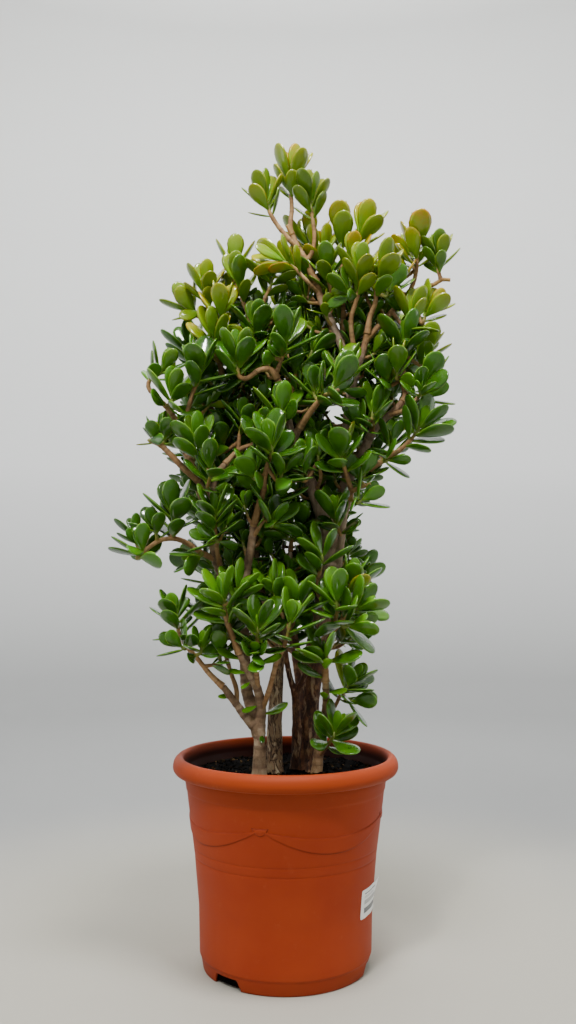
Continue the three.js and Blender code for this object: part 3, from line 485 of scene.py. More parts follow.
# coated self-adhesive paper: flat white with a dull shine, printed with a few plain grey bars
def coatedPaper(add):
    split = add("UVMap", out="UV", uv_map="UVMap")
    across, up = [add("SeparateXYZ", [split], axis) for axis in "XY"]
    ink = 0.0
    for left, right, low, high, depth in label["ink"]:
        block = depth
        for value, limit, way in ((across, left, "GREATER_THAN"), (across, right, "LESS_THAN"),
                                  (up, low, "GREATER_THAN"), (up, high, "LESS_THAN")):
            inside = add("Math", [value, limit], operation=way)
            block = add("Math", [inside, block], operation="MULTIPLY")
        ink = add("Math", [block, ink], operation="ADD")
    place = add("TexCoord", out="Object")
    fibre = add("TexNoise", {"Vector": place, "Scale": cells(label["fibre"]), "Detail": 4}, "Fac")
    paper = add("ValToRGB", [fibre], stops=[(0.3, "#eaebeb"), (0.7, "#f6f6f4")])
    colour = add("Mix", {0: ink, 6: paper, 7: "#4a4e55"}, data_type="RGBA")
    bump = add("Bump", {"Strength": 0.15, "Distance": 0.2 * mm, "Height": fibre})
    return {"Base Color": colour, "Roughness": 0.4, "Normal": bump}


def makeLabel():
    bpy.ops.mesh.primitive_grid_add(x_subdivisions=label["columns"],
                                    y_subdivisions=label["rows"], size=1)
    sheet = bpy.context.object
    sheet.name = "label_sheet"
    tall, corner, curl, wavy = label["high"], label["round"], label["curl"], label["buckle"]
    wide = math.radians(label["width"]) * label["radius"]
    for vertex in sheet.data.vertices:
        right, high = vertex.co.x + 0.5, vertex.co.y + 0.5
        side, end = min(right, 1 - right) * wide, min(high, 1 - high) * tall
        if side < corner and end < corner:  # rounded corners
            pull = corner - math.hypot(corner - side, corner - end)
            if pull < 0:
                right += math.copysign(-pull * 0.7 / wide, 0.5 - right)
                high += math.copysign(-pull * 0.7 / tall, 0.5 - high)
        lift = curl["out"] * max(0, right - curl["right"]) * max(0, high - curl["high"])
        buckle = wavy["out"] * smoothstep(0.5, 0, high) * math.sin(right * wavy["waves"]) ** 2
        turn = label["turn"] + label["width"] * right
        vertex.co = onPot(turn, label["low"] + tall * high, label["off"] + lift + buckle)
    applyModifier("SOLIDIFY", thickness=label["thick"] * mm, offset=1)
    return sheet


finished(makeLabel(), newMaterial("coatedPaper", coatedPaper), "label", "label")
print("label made")


# sizes that the plant is drawn from, in mm
plant = {
    "leafLength": 48,
    "twigRadius": 2.3,
    "twigTop": 4.4,        # crossing of the leaf pairs to the end of the twig
    "leafWidth": 0.57,     # of the length, in the solids
    "middle": (3.4, 561),  # branches spread from here
    "spreadDistance": 1444,
    "foot": 258,           # the stems start a little under the top of the soil
    "near": 12,            # a limb whose end is this near to a rosette ends in it
    "snap": 6,             # points nearer than this to the end of a limb give way to it
    "straight": 22,        # a longer side twig bends up into its rosette
    "sideRadius": 2.6,
    # rosettes close up toward the crown: share at the bottom, loss per mm, height of start, span
    "closing": (1.02, 0.0006, 450, 650),
    "vary": (16, 14, 0.16),       # turn, lean and length of a leaf
    "corner": (0.96, 0.06, 0.27),  # a corner of a leaf of the solids: along it, up and across
    "touch": 0.08,         # between that corner and the one found in the solids
    "seed": 20,
}

# woody stems, each as limbs: start and end radius, then points as across, up, depth
stems = {
    "stem_front": [
        (9.4, 4.8, -38, 285, -45, -38, 315, -45, -37, 340, -46, -36, 362, -50, -41, 388, -58,
         -53, 412, -66, -68, 440, -74),
        (7, 4.8, -38, 325, -45, -56, 346, -50, -78, 375, -56, -92, 393, -59),
        (9, 5.6, -39, 322, -42, -50, 362, -34, -58, 395, -28, -60, 440, -24, -62, 480, -24,
         -66, 505, -26, -61, 540, -28, -49, 610, -32, -47, 628, -34),
        (7, 5.2, -64, 498, -26, -82, 530, -28, -97, 562, -32, -107, 595, -36, -114, 630, -38,
         -127, 690, -38, -138, 714, -43),
        (5.5, 4.6, -118, 650, -38, -104, 698, -30, -90, 720, -24),
    ],
    "stem_cracked": [
        (12, 7, -16, 285, -12, -16, 330, -12, -14, 375, -12, -12, 410, -10, -8, 450, -6,
         -3, 485, 0),
        (5, 3.6, -3, 480, 0, 1, 520, 4, 4, 555, 6, 7, 590, 6),
        (6, 4.5, -6, 465, -3, -28, 510, 16, -42, 560, 34, -44, 620, 50, -38, 680, 64),
    ],
    "stem_main": [
        (17, 14, 28, 285, 18, 31, 340, 18, 37, 400, 16, 46, 460, 12, 58, 520, 8, 69, 585, 2),
        (12, 5.4, 67, 570, 2, 63, 610, 0, 42, 680, -8, 28, 708, -14, 14, 738, -20, 13, 758, -27,
         20, 773, -35),
        (6, 4.8, 14, 742, -21, 4, 785, -22, -3, 820, -28, -12, 848, -34),
        (12, 9.5, 69, 576, 2, 74, 615, 6, 82, 655, 8, 90, 690, 8, 98, 718, 6),
        (8, 5.6, 97, 710, 6, 91, 750, 2, 92, 790, 0, 97, 822, 0, 94, 855, 4, 86, 890, 8, 74, 920, 8,
         54, 965, 4, 46, 992, 0),
        (8, 4.8, 98, 714, 6, 114, 737, -2, 128, 766, -10, 142, 784, -14, 160, 798, -18,
         174, 813, -20),
        (5.4, 4.6, 98, 708, 6, 112, 710, -10, 124, 712, -20),
        (6, 4.8, 96, 822, 0, 106, 858, -6, 116, 890, -12, 122, 915, -16),
        (6, 4.4, 76, 568, -4, 82, 605, -14, 86, 640, -20, 94, 665, -24),
        (7, 5, 70, 585, 6, 62, 650, 48, 54, 710, 80, 50, 770, 98),
        (6.5, 4.8, 92, 696, 8, 118, 755, 46, 138, 810, 72),
        (7.5, 5.6, 14, 274, 2, 16, 336, -3, 14, 384, -6),
        (4.8, 3.6, 14, 380, -6, 4, 416, -14, -3, 462, -22),
        (5, 4, 14, 380, -6, 25, 402, -12, 34, 424, -14),
    ],
    "stem_right": [
        (7.5, 5, 44, 285, -8, 50, 315, -14, 57, 345, -22, 59, 372, -32, 58, 400, -44),
    ],
    "stem_back": [
        (9, 6, 26, 285, 58, 25, 340, 58, 21, 400, 60, 12, 460, 66, 0, 520, 72, -6, 580, 80,
         -12, 640, 88),
        (6.5, 5.2, 9, 472, 67, -25, 530, 76, -50, 590, 80, -68, 650, 76, -80, 710, 66, -85, 770, 48,
         -84, 815, 34),
    ],
}

# leafy branches by the stem that carries them: limbs as above, then rosettes as across, up, depth,
# tilt to the right, tilt to the front and size
branches = {
    "stem_main": {
        "crown": ([(5.4, 2.6, 46, 990, 0, 36, 1013, -4, 27, 1032, -6, 18, 1046, -6, 4, 1060, -8,
            -12, 1080, -10, -23, 1098, -12, -29, 1114, -12), (4.2, 2.6, 18, 1045, -6, 11, 1064, -2,
            7, 1080, 0, 9, 1104, 0, 8, 1128, 0, 7, 1145, 0), (3.6, 2.6, 30, 1025, -5, 40, 1040, -7,
            43, 1062, -8, 41, 1088, -9, 38, 1112, -10), (3.6, 3.2, 10, 1066, -2, 2, 1081, -4)],
            [(-30, 1119, -12, -8, 5, 1.05), (8, 1151, 0, 3, 0, 1.2), (38, 1117, -10, 5, 10, 1.1),
            (14, 1030, 6, -10, 0, 0.5)]),
        "crown_left": ([(3.2, 2.4, 50, 977, 2, 30, 997, -14, 14, 1014, -18, 3, 1022, -22)],
            [(-2, 1024, -24, -75, 10, 1.15)]),
        "crown_dark": ([(3, 2.4, 56, 960, 4, 38, 966, 16, 22, 984, 24, 12, 1002, 28, 6, 1016, 30)],
            [(36, 1050, 34, -5, -5, 1.2), (2, 1022, 32, -15, -10, 0.8)]),
        "crown_right": ([(3, 2.4, 60, 950, 6, 67, 972, 0, 65, 992, -4, 62, 1004, -6)],
            [(62, 1009, -6, 5, 12, 1.1), (54, 1034, 16, 0, 0, 1.1)]),
        "crown_tall": ([(4.2, 2.6, 84, 895, 8, 86, 930, 18, 86, 970, 22, 84, 1014, 22,
            84, 1058, 20), (3, 2.4, 85, 1000, 22, 98, 1032, 14, 108, 1058, 10)],
            [(83, 1064, 20, -8, 5, 1.3), (111, 1064, 10, 10, 5, 1.25), (100, 1022, 0, 0, 20, 1.1)]),
        "right_front": ([(4, 2.5, 110, 868, -8, 100, 905, -14, 98, 938, -22, 104, 960, -28,
            111, 985, -34, 111, 998, -38)],
            [(111, 1003, -40, 2, 10, 1.15), (94, 978, -36, -25, 5, 0.95)]),
        "right_mid": ([(4.6, 2.5, 122, 913, -16, 126, 940, -20, 134, 962, -28, 136, 982, -34,
            140, 998, -38)],
            [(141, 1003, -40, 5, 5, 1.25), (152, 976, -30, 25, 0, 1.1)]),
        "right_crown": ([(4.6, 2.6, 120, 906, -14, 142, 930, -8, 158, 948, -4, 172, 966, -2,
            188, 984, -2, 196, 1010, -4, 198, 1042, -6), (3, 2.4, 188, 984, -2, 194, 1006, 8,
            190, 1026, 14), (3.6, 2.7, 174, 968, -2, 202, 984, -8, 222, 990, -12, 234, 997, -14,
            247, 997, -14), (2.8, 2.3, 233, 996, -14, 229, 1012, -14, 231, 1026, -14)],
            [(198, 1048, -6, 0, 5, 1.25), (188, 1036, 15, -20, -10, 0.95),
            (229, 1031, -14, -6, 5, 1), (187, 938, -26, 15, 10, 1.25), (165, 990, -10, 8, 5, 1.15),
            (212, 948, -16, 30, 0, 1)]),
        "right_upper": ([(4.6, 2.6, 174, 813, -20, 178, 824, -19, 172, 846, -12, 172, 872, -8,
            176, 892, -14)],
            [(177, 897, -20, 0, 5, 1.25), (206, 884, -4, 20, 0, 1.1), (150, 846, -20, -12, 10, 1.1),
            (166, 860, -36, 0, 15, 1.1)]),
        "right_outer": ([(3.6, 2.6, 154, 793, -17, 176, 800, -38, 194, 816, -42, 206, 832, -38)],
            [(208, 841, -34, 18, 5, 1.15), (200, 824, -50, 10, 55, 1.05),
            (208, 818, -24, 55, 0, 1)]),
        "right_low": ([(4.6, 2.6, 124, 712, -20, 145, 725, -32, 165, 737, -38, 182, 752, -42,
            194, 766, -44)],
            [(197, 771, -45, 30, 12, 1.25), (156, 748, -26, 15, 5, 1),
            (150, 724, -38, 75, 10, 0.95)]),
        "right_inner": ([(3, 2.4, 128, 764, -10, 130, 774, -26, 130, 788, -32)],
            [(129, 793, -34, 3, 8, 1.15), (112, 776, -38, -30, 15, 0.95)]),
        "centre": ([(5, 3, 20, 773, -35, 40, 802, -55, 56, 820, -68, 67, 829, -77)],
            [(71, 832, -80, 32, 20, 1.35), (42, 826, -56, -8, 10, 1.05),
            (88, 858, -60, 5, 10, 1.15)]),
        "centre_left": ([(4.8, 2.8, -12, 846, -34, -24, 861, -40, -40, 860, -46, -58, 848, -52,
            -70, 852, -56, -71, 866, -58), (3.4, 2.4, -15, 852, -35, -8, 872, -42, -1, 893, -50)],
            [(-70, 873, -60, 5, 10, 1.2), (1, 901, -54, 5, 10, 1.25),
            (-27, 884, -50, 8, 15, 1.05)]),
        "centre_up": ([(3.8, 2.8, 4, 788, -24, 10, 830, -12, 16, 862, -4)],
            [(17, 869, -2, 5, 5, 1.1), (38, 886, 6, 20, 0, 1.1)]),
        "front_low": ([(3, 2.4, 56, 512, 8, 45, 534, -26, 50, 558, -42, 53, 574, -46)],
            [(54, 580, -48, 6, 12, 1.2)]),
        "right_thin": ([(4, 2.4, 94, 664, -24, 97, 680, -27, 92, 697, -38, 87, 714, -50,
            83, 728, -58), (3.4, 2.8, 97, 679, -27, 110, 684, -30, 126, 690, -32)],
            [(83, 734, -60, 3, 10, 1.2), (110, 664, -38, 55, 5, 1), (112, 700, -26, 25, 0, 1)]),
        "centre_inner": ([(3, 2.4, 44, 676, -8, 52, 700, -32, 49, 722, -38)],
            [(48, 728, -40, 0, 8, 1.15), (22, 712, -62, -20, 15, 1.1)]),
        "inner_right": ([(3, 2.4, 83, 612, -15, 77, 624, -28, 73, 634, -34)],
            [(73, 640, -34, 2, 10, 1.15)]),
        "centre_pale": ([(2.8, 2.4, 3, 788, -24, -6, 780, -46, -8, 788, -58)],
            [(-8, 793, -62, 3, 10, 1.15)]),
        "back_centre": ([(4.8, 3, 50, 768, 98, 54, 830, 108, 60, 890, 104, 66, 950, 92)],
            [(67, 958, 92, 0, -10, 1.2), (38, 896, 128, -15, -35, 1.2),
            (84, 862, 132, 20, -35, 1.2)]),
        "back_right": ([(4.8, 3, 138, 808, 72, 150, 860, 84, 158, 915, 84)],
            [(160, 922, 84, 5, -10, 1.2), (184, 872, 96, 35, -25, 1.2),
            (128, 868, 118, -10, -45, 1.2)]),
        "back_low": ([(4.2, 3, 44, 452, 16, 75, 500, 50, 100, 545, 75)],
            [(104, 553, 78, 20, -20, 1.2), (76, 560, 102, 0, -50, 1.2)]),
    },
    "stem_front": {
        "low_left": ([(4.8, 2.6, -90, 391, -58, -99, 399, -60, -113, 413, -62, -130, 434, -64,
            -146, 452, -62, -157, 472, -60, -160, 488, -58)],
            [(-160, 494, -58, -12, 0, 1.1), (-151, 449, -78, -50, 20, 0.9),
            (-124, 446, -74, 0, 20, 0.9), (-97, 440, -66, 0, 15, 1.05)]),
        "low_inner": ([(3.5, 2.4, -72, 368, -54, -72, 388, -46, -80, 412, -42, -90, 444, -36,
            -100, 470, -28, -108, 494, -20)],
            [(-111, 502, -17, -20, 0, 1.1), (-82, 477, -50, 10, 10, 1)]),
        "front_bright": ([(4.8, 3, -68, 440, -74, -78, 465, -80, -86, 487, -86, -91, 510, -90)],
            [(-91, 517, -92, -8, 18, 1.3), (-70, 528, -84, 25, 12, 1.1)]),
        "front_centre": ([(4, 2.6, -41, 388, -58, -43, 420, -76, -42, 445, -90, -41, 465, -98)],
            [(-41, 474, -101, 5, 15, 1.25), (-44, 438, -96, -5, 60, 1)]),
        "front_right": ([(4.2, 2.6, -36, 356, -49, -25, 385, -62, -14, 425, -70, -3, 448, -76,
            4, 472, -82)],
            [(6, 482, -85, 12, 15, 1.3), (16, 506, -58, 8, 5, 1.3), (-16, 526, -70, -20, 5, 1.15)]),
        "middle": ([(5.4, 2.8, -47, 626, -34, -41, 655, -45, -33, 680, -60, -31, 702, -72,
            -26, 722, -84, -22, 736, -92)],
            [(-21, 743, -96, -5, 15, 1.35), (-48, 702, -78, -15, 15, 1.15),
            (-6, 704, -86, 25, 15, 1.1)]),
        "middle_right": ([(3.2, 2.4, -48, 608, -32, -32, 638, -48, -20, 658, -53)],
            [(-15, 665, -54, 25, 10, 1.05), (-20, 630, -64, 20, 20, 1)]),
        "far_left": ([(4.8, 3, -102, 578, -34, -124, 588, -38, -145, 602, -42, -166, 609, -46,
            -190, 604, -50, -212, 588, -54, -219, 581, -56), (3, 2.4, -166, 608, -46,
            -168, 622, -46, -167, 637, -46)],
            [(-167, 642, -46, -8, 5, 1.25), (-193, 622, -50, -20, 5, 0.9),
            (-211, 588, -57, -5, 8, 1.05), (-221, 614, -36, -10, -8, 0.8),
            (-128, 583, -46, -105, 10, 1.05)]),
        "left_stub": ([(4.8, 3.2, -129, 694, -39, -152, 714, -52, -175, 738, -56, -188, 749, -58,
            -203, 755, -60)],
            [(-193, 758, -60, -8, 5, 0.85), (-179, 757, -54, 15, 5, 1)]),
        "left_up": ([(4.8, 2.6, -138, 714, -43, -150, 742, -38, -157, 772, -38, -172, 798, -42,
            -190, 818, -44, -204, 833, -46, -202, 846, -46, -190, 855, -46), (3.6, 2.5,
            -158, 776, -38, -146, 800, -42, -139, 824, -46, -131, 848, -50)],
            [(-186, 858, -46, 32, 5, 0.95), (-170, 816, -54, 5, 12, 1.15),
            (-129, 855, -52, 5, 12, 1.3)]),
        "left_inner": ([(4.4, 2.8, -92, 716, -25, -70, 740, -20, -52, 748, -18, -38, 754, -16),
            (3, 2.4, -70, 740, -20, -69, 760, -20, -65, 780, -20)],
            [(-65, 785, -20, -4, 8, 0.9), (-32, 762, -12, 20, 0, 1.1),
            (-96, 752, -6, -15, 0, 1.15)]),
        "left_mid": ([(3, 2.4, -120, 664, -38, -116, 684, -54, -113, 704, -66)],
            [(-112, 710, -70, -8, 12, 1.15), (-131, 746, -58, -12, 5, 1.2)]),
        "left_low": ([(3, 2.4, -98, 566, -33, -101, 590, -52, -104, 618, -62, -105, 636, -66)],
            [(-105, 642, -68, 0, 20, 1.15), (-104, 606, -66, -60, 20, 0.9)]),
    },
    "stem_cracked": {
        "centre_dark": ([(3.4, 2.6, 7, 588, 6, 9, 607, 4, 17, 624, 0)],
            [(19, 629, -1, 20, 8, 1.15), (2, 612, -14, -35, 10, 1)]),
        "back_mid": ([(4.4, 3, -38, 678, 64, -42, 740, 82, -46, 800, 92, -48, 860, 92)],
            [(-48, 868, 92, 0, -10, 1.2), (-70, 812, 112, -25, -35, 1.2),
            (-26, 790, 116, 15, -40, 1.1)]),
    },
    "stem_right": {
        "right_column": ([(5, 2.6, 58, 398, -44, 58, 428, -58, 60, 448, -58, 68, 470, -54,
            84, 490, -52, 99, 502, -52), (3, 2.4, 66, 466, -54, 74, 494, -64, 75, 508, -70),
            (3, 2.4, 82, 488, -52, 91, 516, -42, 94, 538, -34)],
            [(57, 430, -66, -8, 20, 1.25), (101, 504, -52, 60, 5, 1.2),
            (75, 514, -72, -2, 10, 1.25), (95, 545, -33, 12, 0, 1.15),
            (90, 480, -62, 80, 10, 1.15)]),
        "right_shade": ([(3, 2.4, 57, 348, -23, 71, 362, -26, 81, 382, -36, 90, 392, -40)],
            [(93, 396, -42, 35, 5, 1.15), (94, 372, -40, 85, 10, 1)]),
        "right_shoot": ([(2.8, 2.2, 45, 292, -10, 58, 303, -30, 67, 317, -46)],
            [(70, 323, -50, 20, 8, 1.1)]),
    },
    "stem_back": {
        "upper_left": ([(5, 3.2, -84, 812, 35, -92, 845, 28, -102, 880, 20, -110, 915, 12,
            -114, 945, 6, -118, 972, 0)],
            [(-120, 980, -3, -5, 5, 1.1), (-108, 905, -28, -10, 15, 1.2),
            (-140, 952, 14, -35, -5, 1.05), (-96, 944, -34, 8, 12, 1.25),
            (-94, 962, 26, 10, -10, 1.1)]),
        "upper_inner": ([(4.6, 2.6, -85, 780, 44, -68, 822, 52, -62, 864, 36, -56, 900, 18,
            -46, 928, 6, -36, 955, 0, -28, 975, -4, -23, 991, -6), (3.4, 2.5, -50, 918, 9,
            -56, 942, -2, -64, 964, -8, -71, 984, -12)],
            [(-22, 997, -7, -15, 5, 1.05), (-72, 990, -13, -12, 12, 1.15),
            (-77, 1016, 6, 2, -5, 1.1), (-46, 922, -24, 0, 12, 1.1)]),
        "back_left": ([(4.4, 3, 6, 440, 65, -25, 465, 84, -60, 490, 96, -90, 520, 102)],
            [(-95, 528, 104, -20, -20, 1.2), (-58, 508, 122, 0, -50, 1.2),
            (-120, 570, 92, -15, -10, 1.2)]),
        "back_right_low": ([(4, 3, 8, 405, 62, 35, 440, 84, 60, 478, 100)],
            [(64, 486, 103, 25, -20, 1.2), (34, 478, 124, -5, -55, 1.2)]),
        "back_up": ([(5.4, 3, -12, 638, 88, -14, 700, 104, -14, 770, 114, -10, 840, 112,
            -8, 900, 100)],
            [(-8, 908, 100, 0, -10, 1.2), (-28, 850, 136, -15, -40, 1.2),
            (12, 780, 142, 15, -50, 1.2), (-20, 716, 140, -10, -60, 1.2)]),
        "back_far_left": ([(4.4, 3, -68, 652, 76, -100, 684, 86, -130, 716, 84, -150, 750, 76)],
            [(-154, 757, 74, -25, -10, 1.2), (-128, 742, 108, -10, -35, 1.2)]),
        "back_left_crown": ([(4.2, 2.8, -85, 768, 49, -110, 800, 68, -130, 840, 72, -140, 880, 64)],
            [(-142, 887, 62, -15, 0, 1.2)]),
    },
}


# seeded draws, in the order in which the solids use them
def makeRandom(seed):
    state = [seed]
    low = 0xffffffff

    def draw():
        state[0] = (state[0] + 0x6d2b79f5) & low
        t = ((state[0] ^ (state[0] >> 15)) * (1 | state[0])) & low
        t = ((t + (((t ^ (t >> 7)) * (61 | t)) & low)) & low) ^ t
        return ((t ^ (t >> 14)) & low) / 4294967296
    return draw


# a point of the plant in mm: across and up spread a little with depth
def place(across, up, depth):
    middle = plant["middle"]
    spread = 1 + depth / plant["spreadDistance"]
    return Vector((middle[0] + (across - middle[0]) * spread, depth,
                   middle[1] + (up - middle[1]) * spread))


def limbOf(values):
    start, end, *flat = values
    path = [place(*flat[i:i + 3]) for i in range(0, len(flat), 3)]
    return {"path": path,
            "radii": [start + (end - start) * i / (len(path) - 1) for i in range(len(path))]}


# the point of a set of limbs that is nearest to a target, and how far off it is
def nearestOn(limbs, target):
    best, least = None, math.inf
    for limb in limbs:
        for start, end in zip(limb["path"], limb["path"][1:]):
            span = end - start
            share = min(1, max(0, (target - start).dot(span) / span.length_squared))
            point = start + span * share
            away = (point - target).length
            if away < least:
                last = end is limb["path"][-1] and (end - point).length < plant["snap"]
                best, least = end.copy() if last else point, away
    return best, least


def rosetteOf(across, up, depth, right, front, size=1):
    right, front = math.radians(right), math.radians(front)
    axis = Vector((math.sin(right) * math.cos(front), -math.sin(front),
                   math.cos(right) * math.cos(front)))
    return withSides({"base": place(across, up, depth), "size": size}, axis)


# gives a rosette its axis and the two directions across it
def withSides(rosette, axis):
    first = (Vector((0, 1, 0)) - axis * axis.y).normalized()
    rosette.update(axis=axis, first=first, second=axis.cross(first))
    return rosette


def outward(rosette, turn):
    turn = math.radians(turn)
    return rosette["first"] * math.cos(turn) + rosette["second"] * math.sin(turn)


# middle of the twig's side face that a leaf grows from
def rootOf(rosette, height, side, radii):
    root = Vector((0, 0, 0))
    for level, radius in zip(height, radii):
        centre = rosette["base"] + rosette["axis"] * level * rosette["size"]
        for corner in (side, side + 1):
            root += (centre + outward(rosette, rosette["turn"] - 45 + 90 * corner) * radius) / 4
    return root


def leafAt(rosette, root, turn, lean, length):
    out, axis, lean = outward(rosette, turn), rosette["axis"], math.radians(lean)
    return {"root": root, "along": out * math.sin(lean) + axis * math.cos(lean),
            "face": axis * math.sin(lean) - out * math.cos(lean), "length": length}


stemLimbs = {name: [limbOf(values) for values in limbs] for name, limbs in stems.items()}
for limbs in stemLimbs.values():
    limbs[0]["path"][0].z = plant["foot"]


# limbs of a branch for its bark, and rosettes with the way their leaves grow
def growBranch(stem, limbs, rosettes):
    limbs = [limbOf(values) for values in limbs]
    limbs[0]["path"][0], _ = nearestOn(stemLimbs[stem], limbs[0]["path"][0])
    rosettes = [rosetteOf(*values) for values in rosettes]
    for rosette in rosettes:
        rosette["low"] = rosette["base"] - rosette["axis"] * plant["twigTop"] * rosette["size"]
    for limb in limbs:
        end = limb["path"][-1]
        ending = next((r for r in rosettes if "limb" not in r
                       and (r["base"] - end).length < plant["near"]), None)
        if ending is None:
            continue
        low = ending["low"]
        limb["path"] = [p for k, p in enumerate(limb["path"])
                        if k == 0 or (p - low).length > plant["snap"]]
        limb["radii"] = limb["radii"][:len(limb["path"])] + [plant["twigRadius"]]
        limb["path"].append(low)
        ending["limb"] = limb
    for rosette in rosettes:
        if "limb" in rosette:
            continue
        point, away = nearestOn(limbs, rosette["base"])
        path, radii = [point], [plant["sideRadius"]]
        if away > plant["straight"]:
            path.append(rosette["base"] - rosette["axis"] * 0.5 * away)
            radii.append(plant["sideRadius"])
        rosette["limb"] = {"path": path + [rosette["low"]],
                           "radii": radii + [plant["twigRadius"]], "side": True}
    return {"limbs": limbs, "rosettes": rosettes}


grown = {"branch_" + own: growBranch(stem, *plan)
         for stem, carried in branches.items() for own, plan in carried.items()}


def everyRosette():
    return (rosette for branch in grown.values() for rosette in branch["rosettes"])


def countLeaves():
    return sum(len(rosette["leaves"]) for rosette in everyRosette())


# the leaves of the solids: pairs as heights and radii of the twig in shares of its top and radius,
# first side, lean from the axis, least lean and share of length
leafPairs = [{"heights": (0, 1), "radii": (1.1, 0.7), "first": 0, "lean": 27, "least": 10,
              "share": 0.84},
             {"heights": (-1, 0), "radii": (1, 1.1), "first": 1, "lean": 55, "least": 31,
              "share": 1}]
# changes of lean, turn and length of a leaf that met another
leafTries = [(0, 0, 1), (-9, 0, 1), (0, 12, 1), (0, -12, 1), (10, 0, 1), (-15, 0, 0.92),
             (4, 22, 0.9), (4, -22, 0.9), (18, 0, 0.86)]


def closing(rosette):
    most, fall, start, height = plant["closing"]
    return most - fall * min(height, max(0, rosette["base"].z - start))


draw = makeRandom(plant["seed"])
varyTurn, varyLean, varyLength = plant["vary"]
cornerAlong, cornerUp, cornerAcross = plant["corner"]
for rosette in everyRosette():
    rosette["turn"] = draw() * 90

for name, branch in grown.items():
    corners = treeOf([vertex.co for vertex in nodes[name].data.vertices])
    for rosette in branch["rosettes"]:
        rosette["leaves"] = []
        for pair, side in [(pair, pair["first"] + more) for pair in leafPairs for more in (0, 2)]:
            heights = [level * plant["twigTop"] for level in pair["heights"]]
            radii = [share * plant["twigRadius"] for share in pair["radii"]]
            draws = [draw() - 0.5 for _ in range(3)]
            root = rootOf(rosette, heights, side, radii)
            for leanMore, turnMore, shorter in leafTries:
                length = plant["leafLength"] * rosette["size"] * pair["share"] * shorter
                length *= 1 + draws[2] * varyLength
                lean = pair["lean"] * closing(rosette) + draws[1] * varyLean + leanMore
                turn = rosette["turn"] + 90 * side + draws[0] * varyTurn + turnMore
                leaf = leafAt(rosette, root, turn, max(pair["least"], lean), length)
                across = leaf["face"].cross(leaf["along"])
                end = root + leaf["along"] * cornerAlong * length + leaf["face"] * cornerUp * length
                end += across * cornerAcross * plant["leafWidth"] * length
                if corners.find(end * mm)[2] < plant["touch"] * mm:
                    rosette["leaves"].append(leaf)
                    break
print("leaves found in the solids:", countLeaves())


# rings from stalk to tip: share of the length, then width and thickness as shares of the widest
leafRings = {
    "broad": [(0.05, 0.2, 0.62), (0.15, 0.34, 0.8), (0.3, 0.62, 0.98), (0.48, 0.88, 1.0),
              (0.65, 1.0, 0.94), (0.8, 0.91, 0.8), (0.91, 0.66, 0.62), (0.975, 0.36, 0.4)],
    "slim": [(0.05, 0.22, 0.62), (0.15, 0.36, 0.82), (0.3, 0.6, 1.0), (0.47, 0.84, 1.0),
             (0.62, 0.99, 0.95), (0.76, 0.96, 0.84), (0.885, 0.72, 0.68), (0.965, 0.4, 0.46)],
    "plain": [(0.1, 0.26, 0.7), (0.3, 0.62, 0.98), (0.52, 0.92, 1.0), (0.7, 0.99, 0.92),
              (0.86, 0.79, 0.74), (0.965, 0.4, 0.44)],
}
leafLook = {
    "sides": 8, "curl": 0.065, "valley": 0.42, "cup": 1.1,
    "width": (0.49, 0.59), "thick": (0.1, 0.122),  # shares of the length
    "droop": -0.3,             # a leaf doesn't point further down than this
    "slim": 0.4,               # younger leaves than this are slim
    "clear": 1.8, "behind": 25,  # mm off the wood, and where a leaf is too far back to hide any
    "vary": {"turn": 7, "lean": 6, "length": (0.92, 1.08)},
    "sunk": {"young": 0.25, "old": 0.8},  # shares of the twig's radius at which a leaf starts
    "bright": 0.4,             # how much of a bright shoot's tone its older leaves have
    # leaves turn olive over this height, a pale rosette's sooner; side shoots stand in the shade
    "sun": {"height": (850, 1090), "tone": 240, "middle": 0.6, "spread": 40, "least": 0.45,
            "shade": 0.5},
    "fading": 0.009, "faded": (0.5, 0.8),  # share of leaves that turn yellow, and how far
    "tones": (0.55, 0.45), "rim": 0.93,  # of the rosette and its own; where the tip's rim starts
    "cloud": 17, "dots": 1.6, "seed": 31,
}
# further leaf pairs of a rosette: mm down the twig, first side, lean, share of length and how young
morePairs = [(-4, 1, 13, 0.58, 0.4), (-5.5, 0, 7, 0.32, 0.85), (8, 0, 56, 0.95, 0),
             (15.5, 1, 64, 0.9, 0), (24, 0, 70, 0.78, 0)]
# the pairs of a side shoot
shootPairs = [(-5, 1, 9, 0.5, 0.6), (-2, 0, 20, 0.85, 0.15), (3, 1, 44, 1, 0),
              (9.5, 0, 60, 0.95, 0), (16.5, 1, 66, 0.85, 0)]
# changes of lean, turn and length, tried in turn until a leaf has room
changes = [(0, 0, 1), (10, 10, 1), (-12, -10, 0.95), (6, 26, 0.9), (-4, -26, 0.9), (20, 0, 0.85),
           (-22, 14, 0.8), (-14, -36, 0.75), (12, 40, 0.7)]
# side shoots by which the bush fills up inside, from any limb to where there is room
shoots = {
    "tries": 5200, "clear": 25,  # mm between two rosettes
    "reach": (26, 78), "size": (0.55, 0.84), "least": 4, "depths": (-8, 128), "seed": 12,
    "below": 24, "rise": 10,     # wood is sought this far below, and used if it is this much lower
    "margin": 22, "offLeaf": 3.2, "offWood": 3, "radii": (2.6, 2.3, 2.07),
    "along": 0.7, "right": (-0.3, 0.3), "front": (-0.45, 0.25), "up": 0.75,  # what turns its axis
    "bend": 0.45,
    # how far they go to the left and right at each height
    "sides": [(455, -95, 95), (550, -105, 108), (609, -112, 84), (668, -138, 98), (742, -150, 140),
              (815, -140, 178), (889, -112, 178), (963, -98, 166), (1010, -78, 150)],
    # gaps through which the wall shows: across, up, radius
    "gaps": [(-19, 990, 22), (12, 608, 15), (79, 796, 10), (-168, 552, 30), (10, 470, 14),
             (-60, 430, 30)],
}
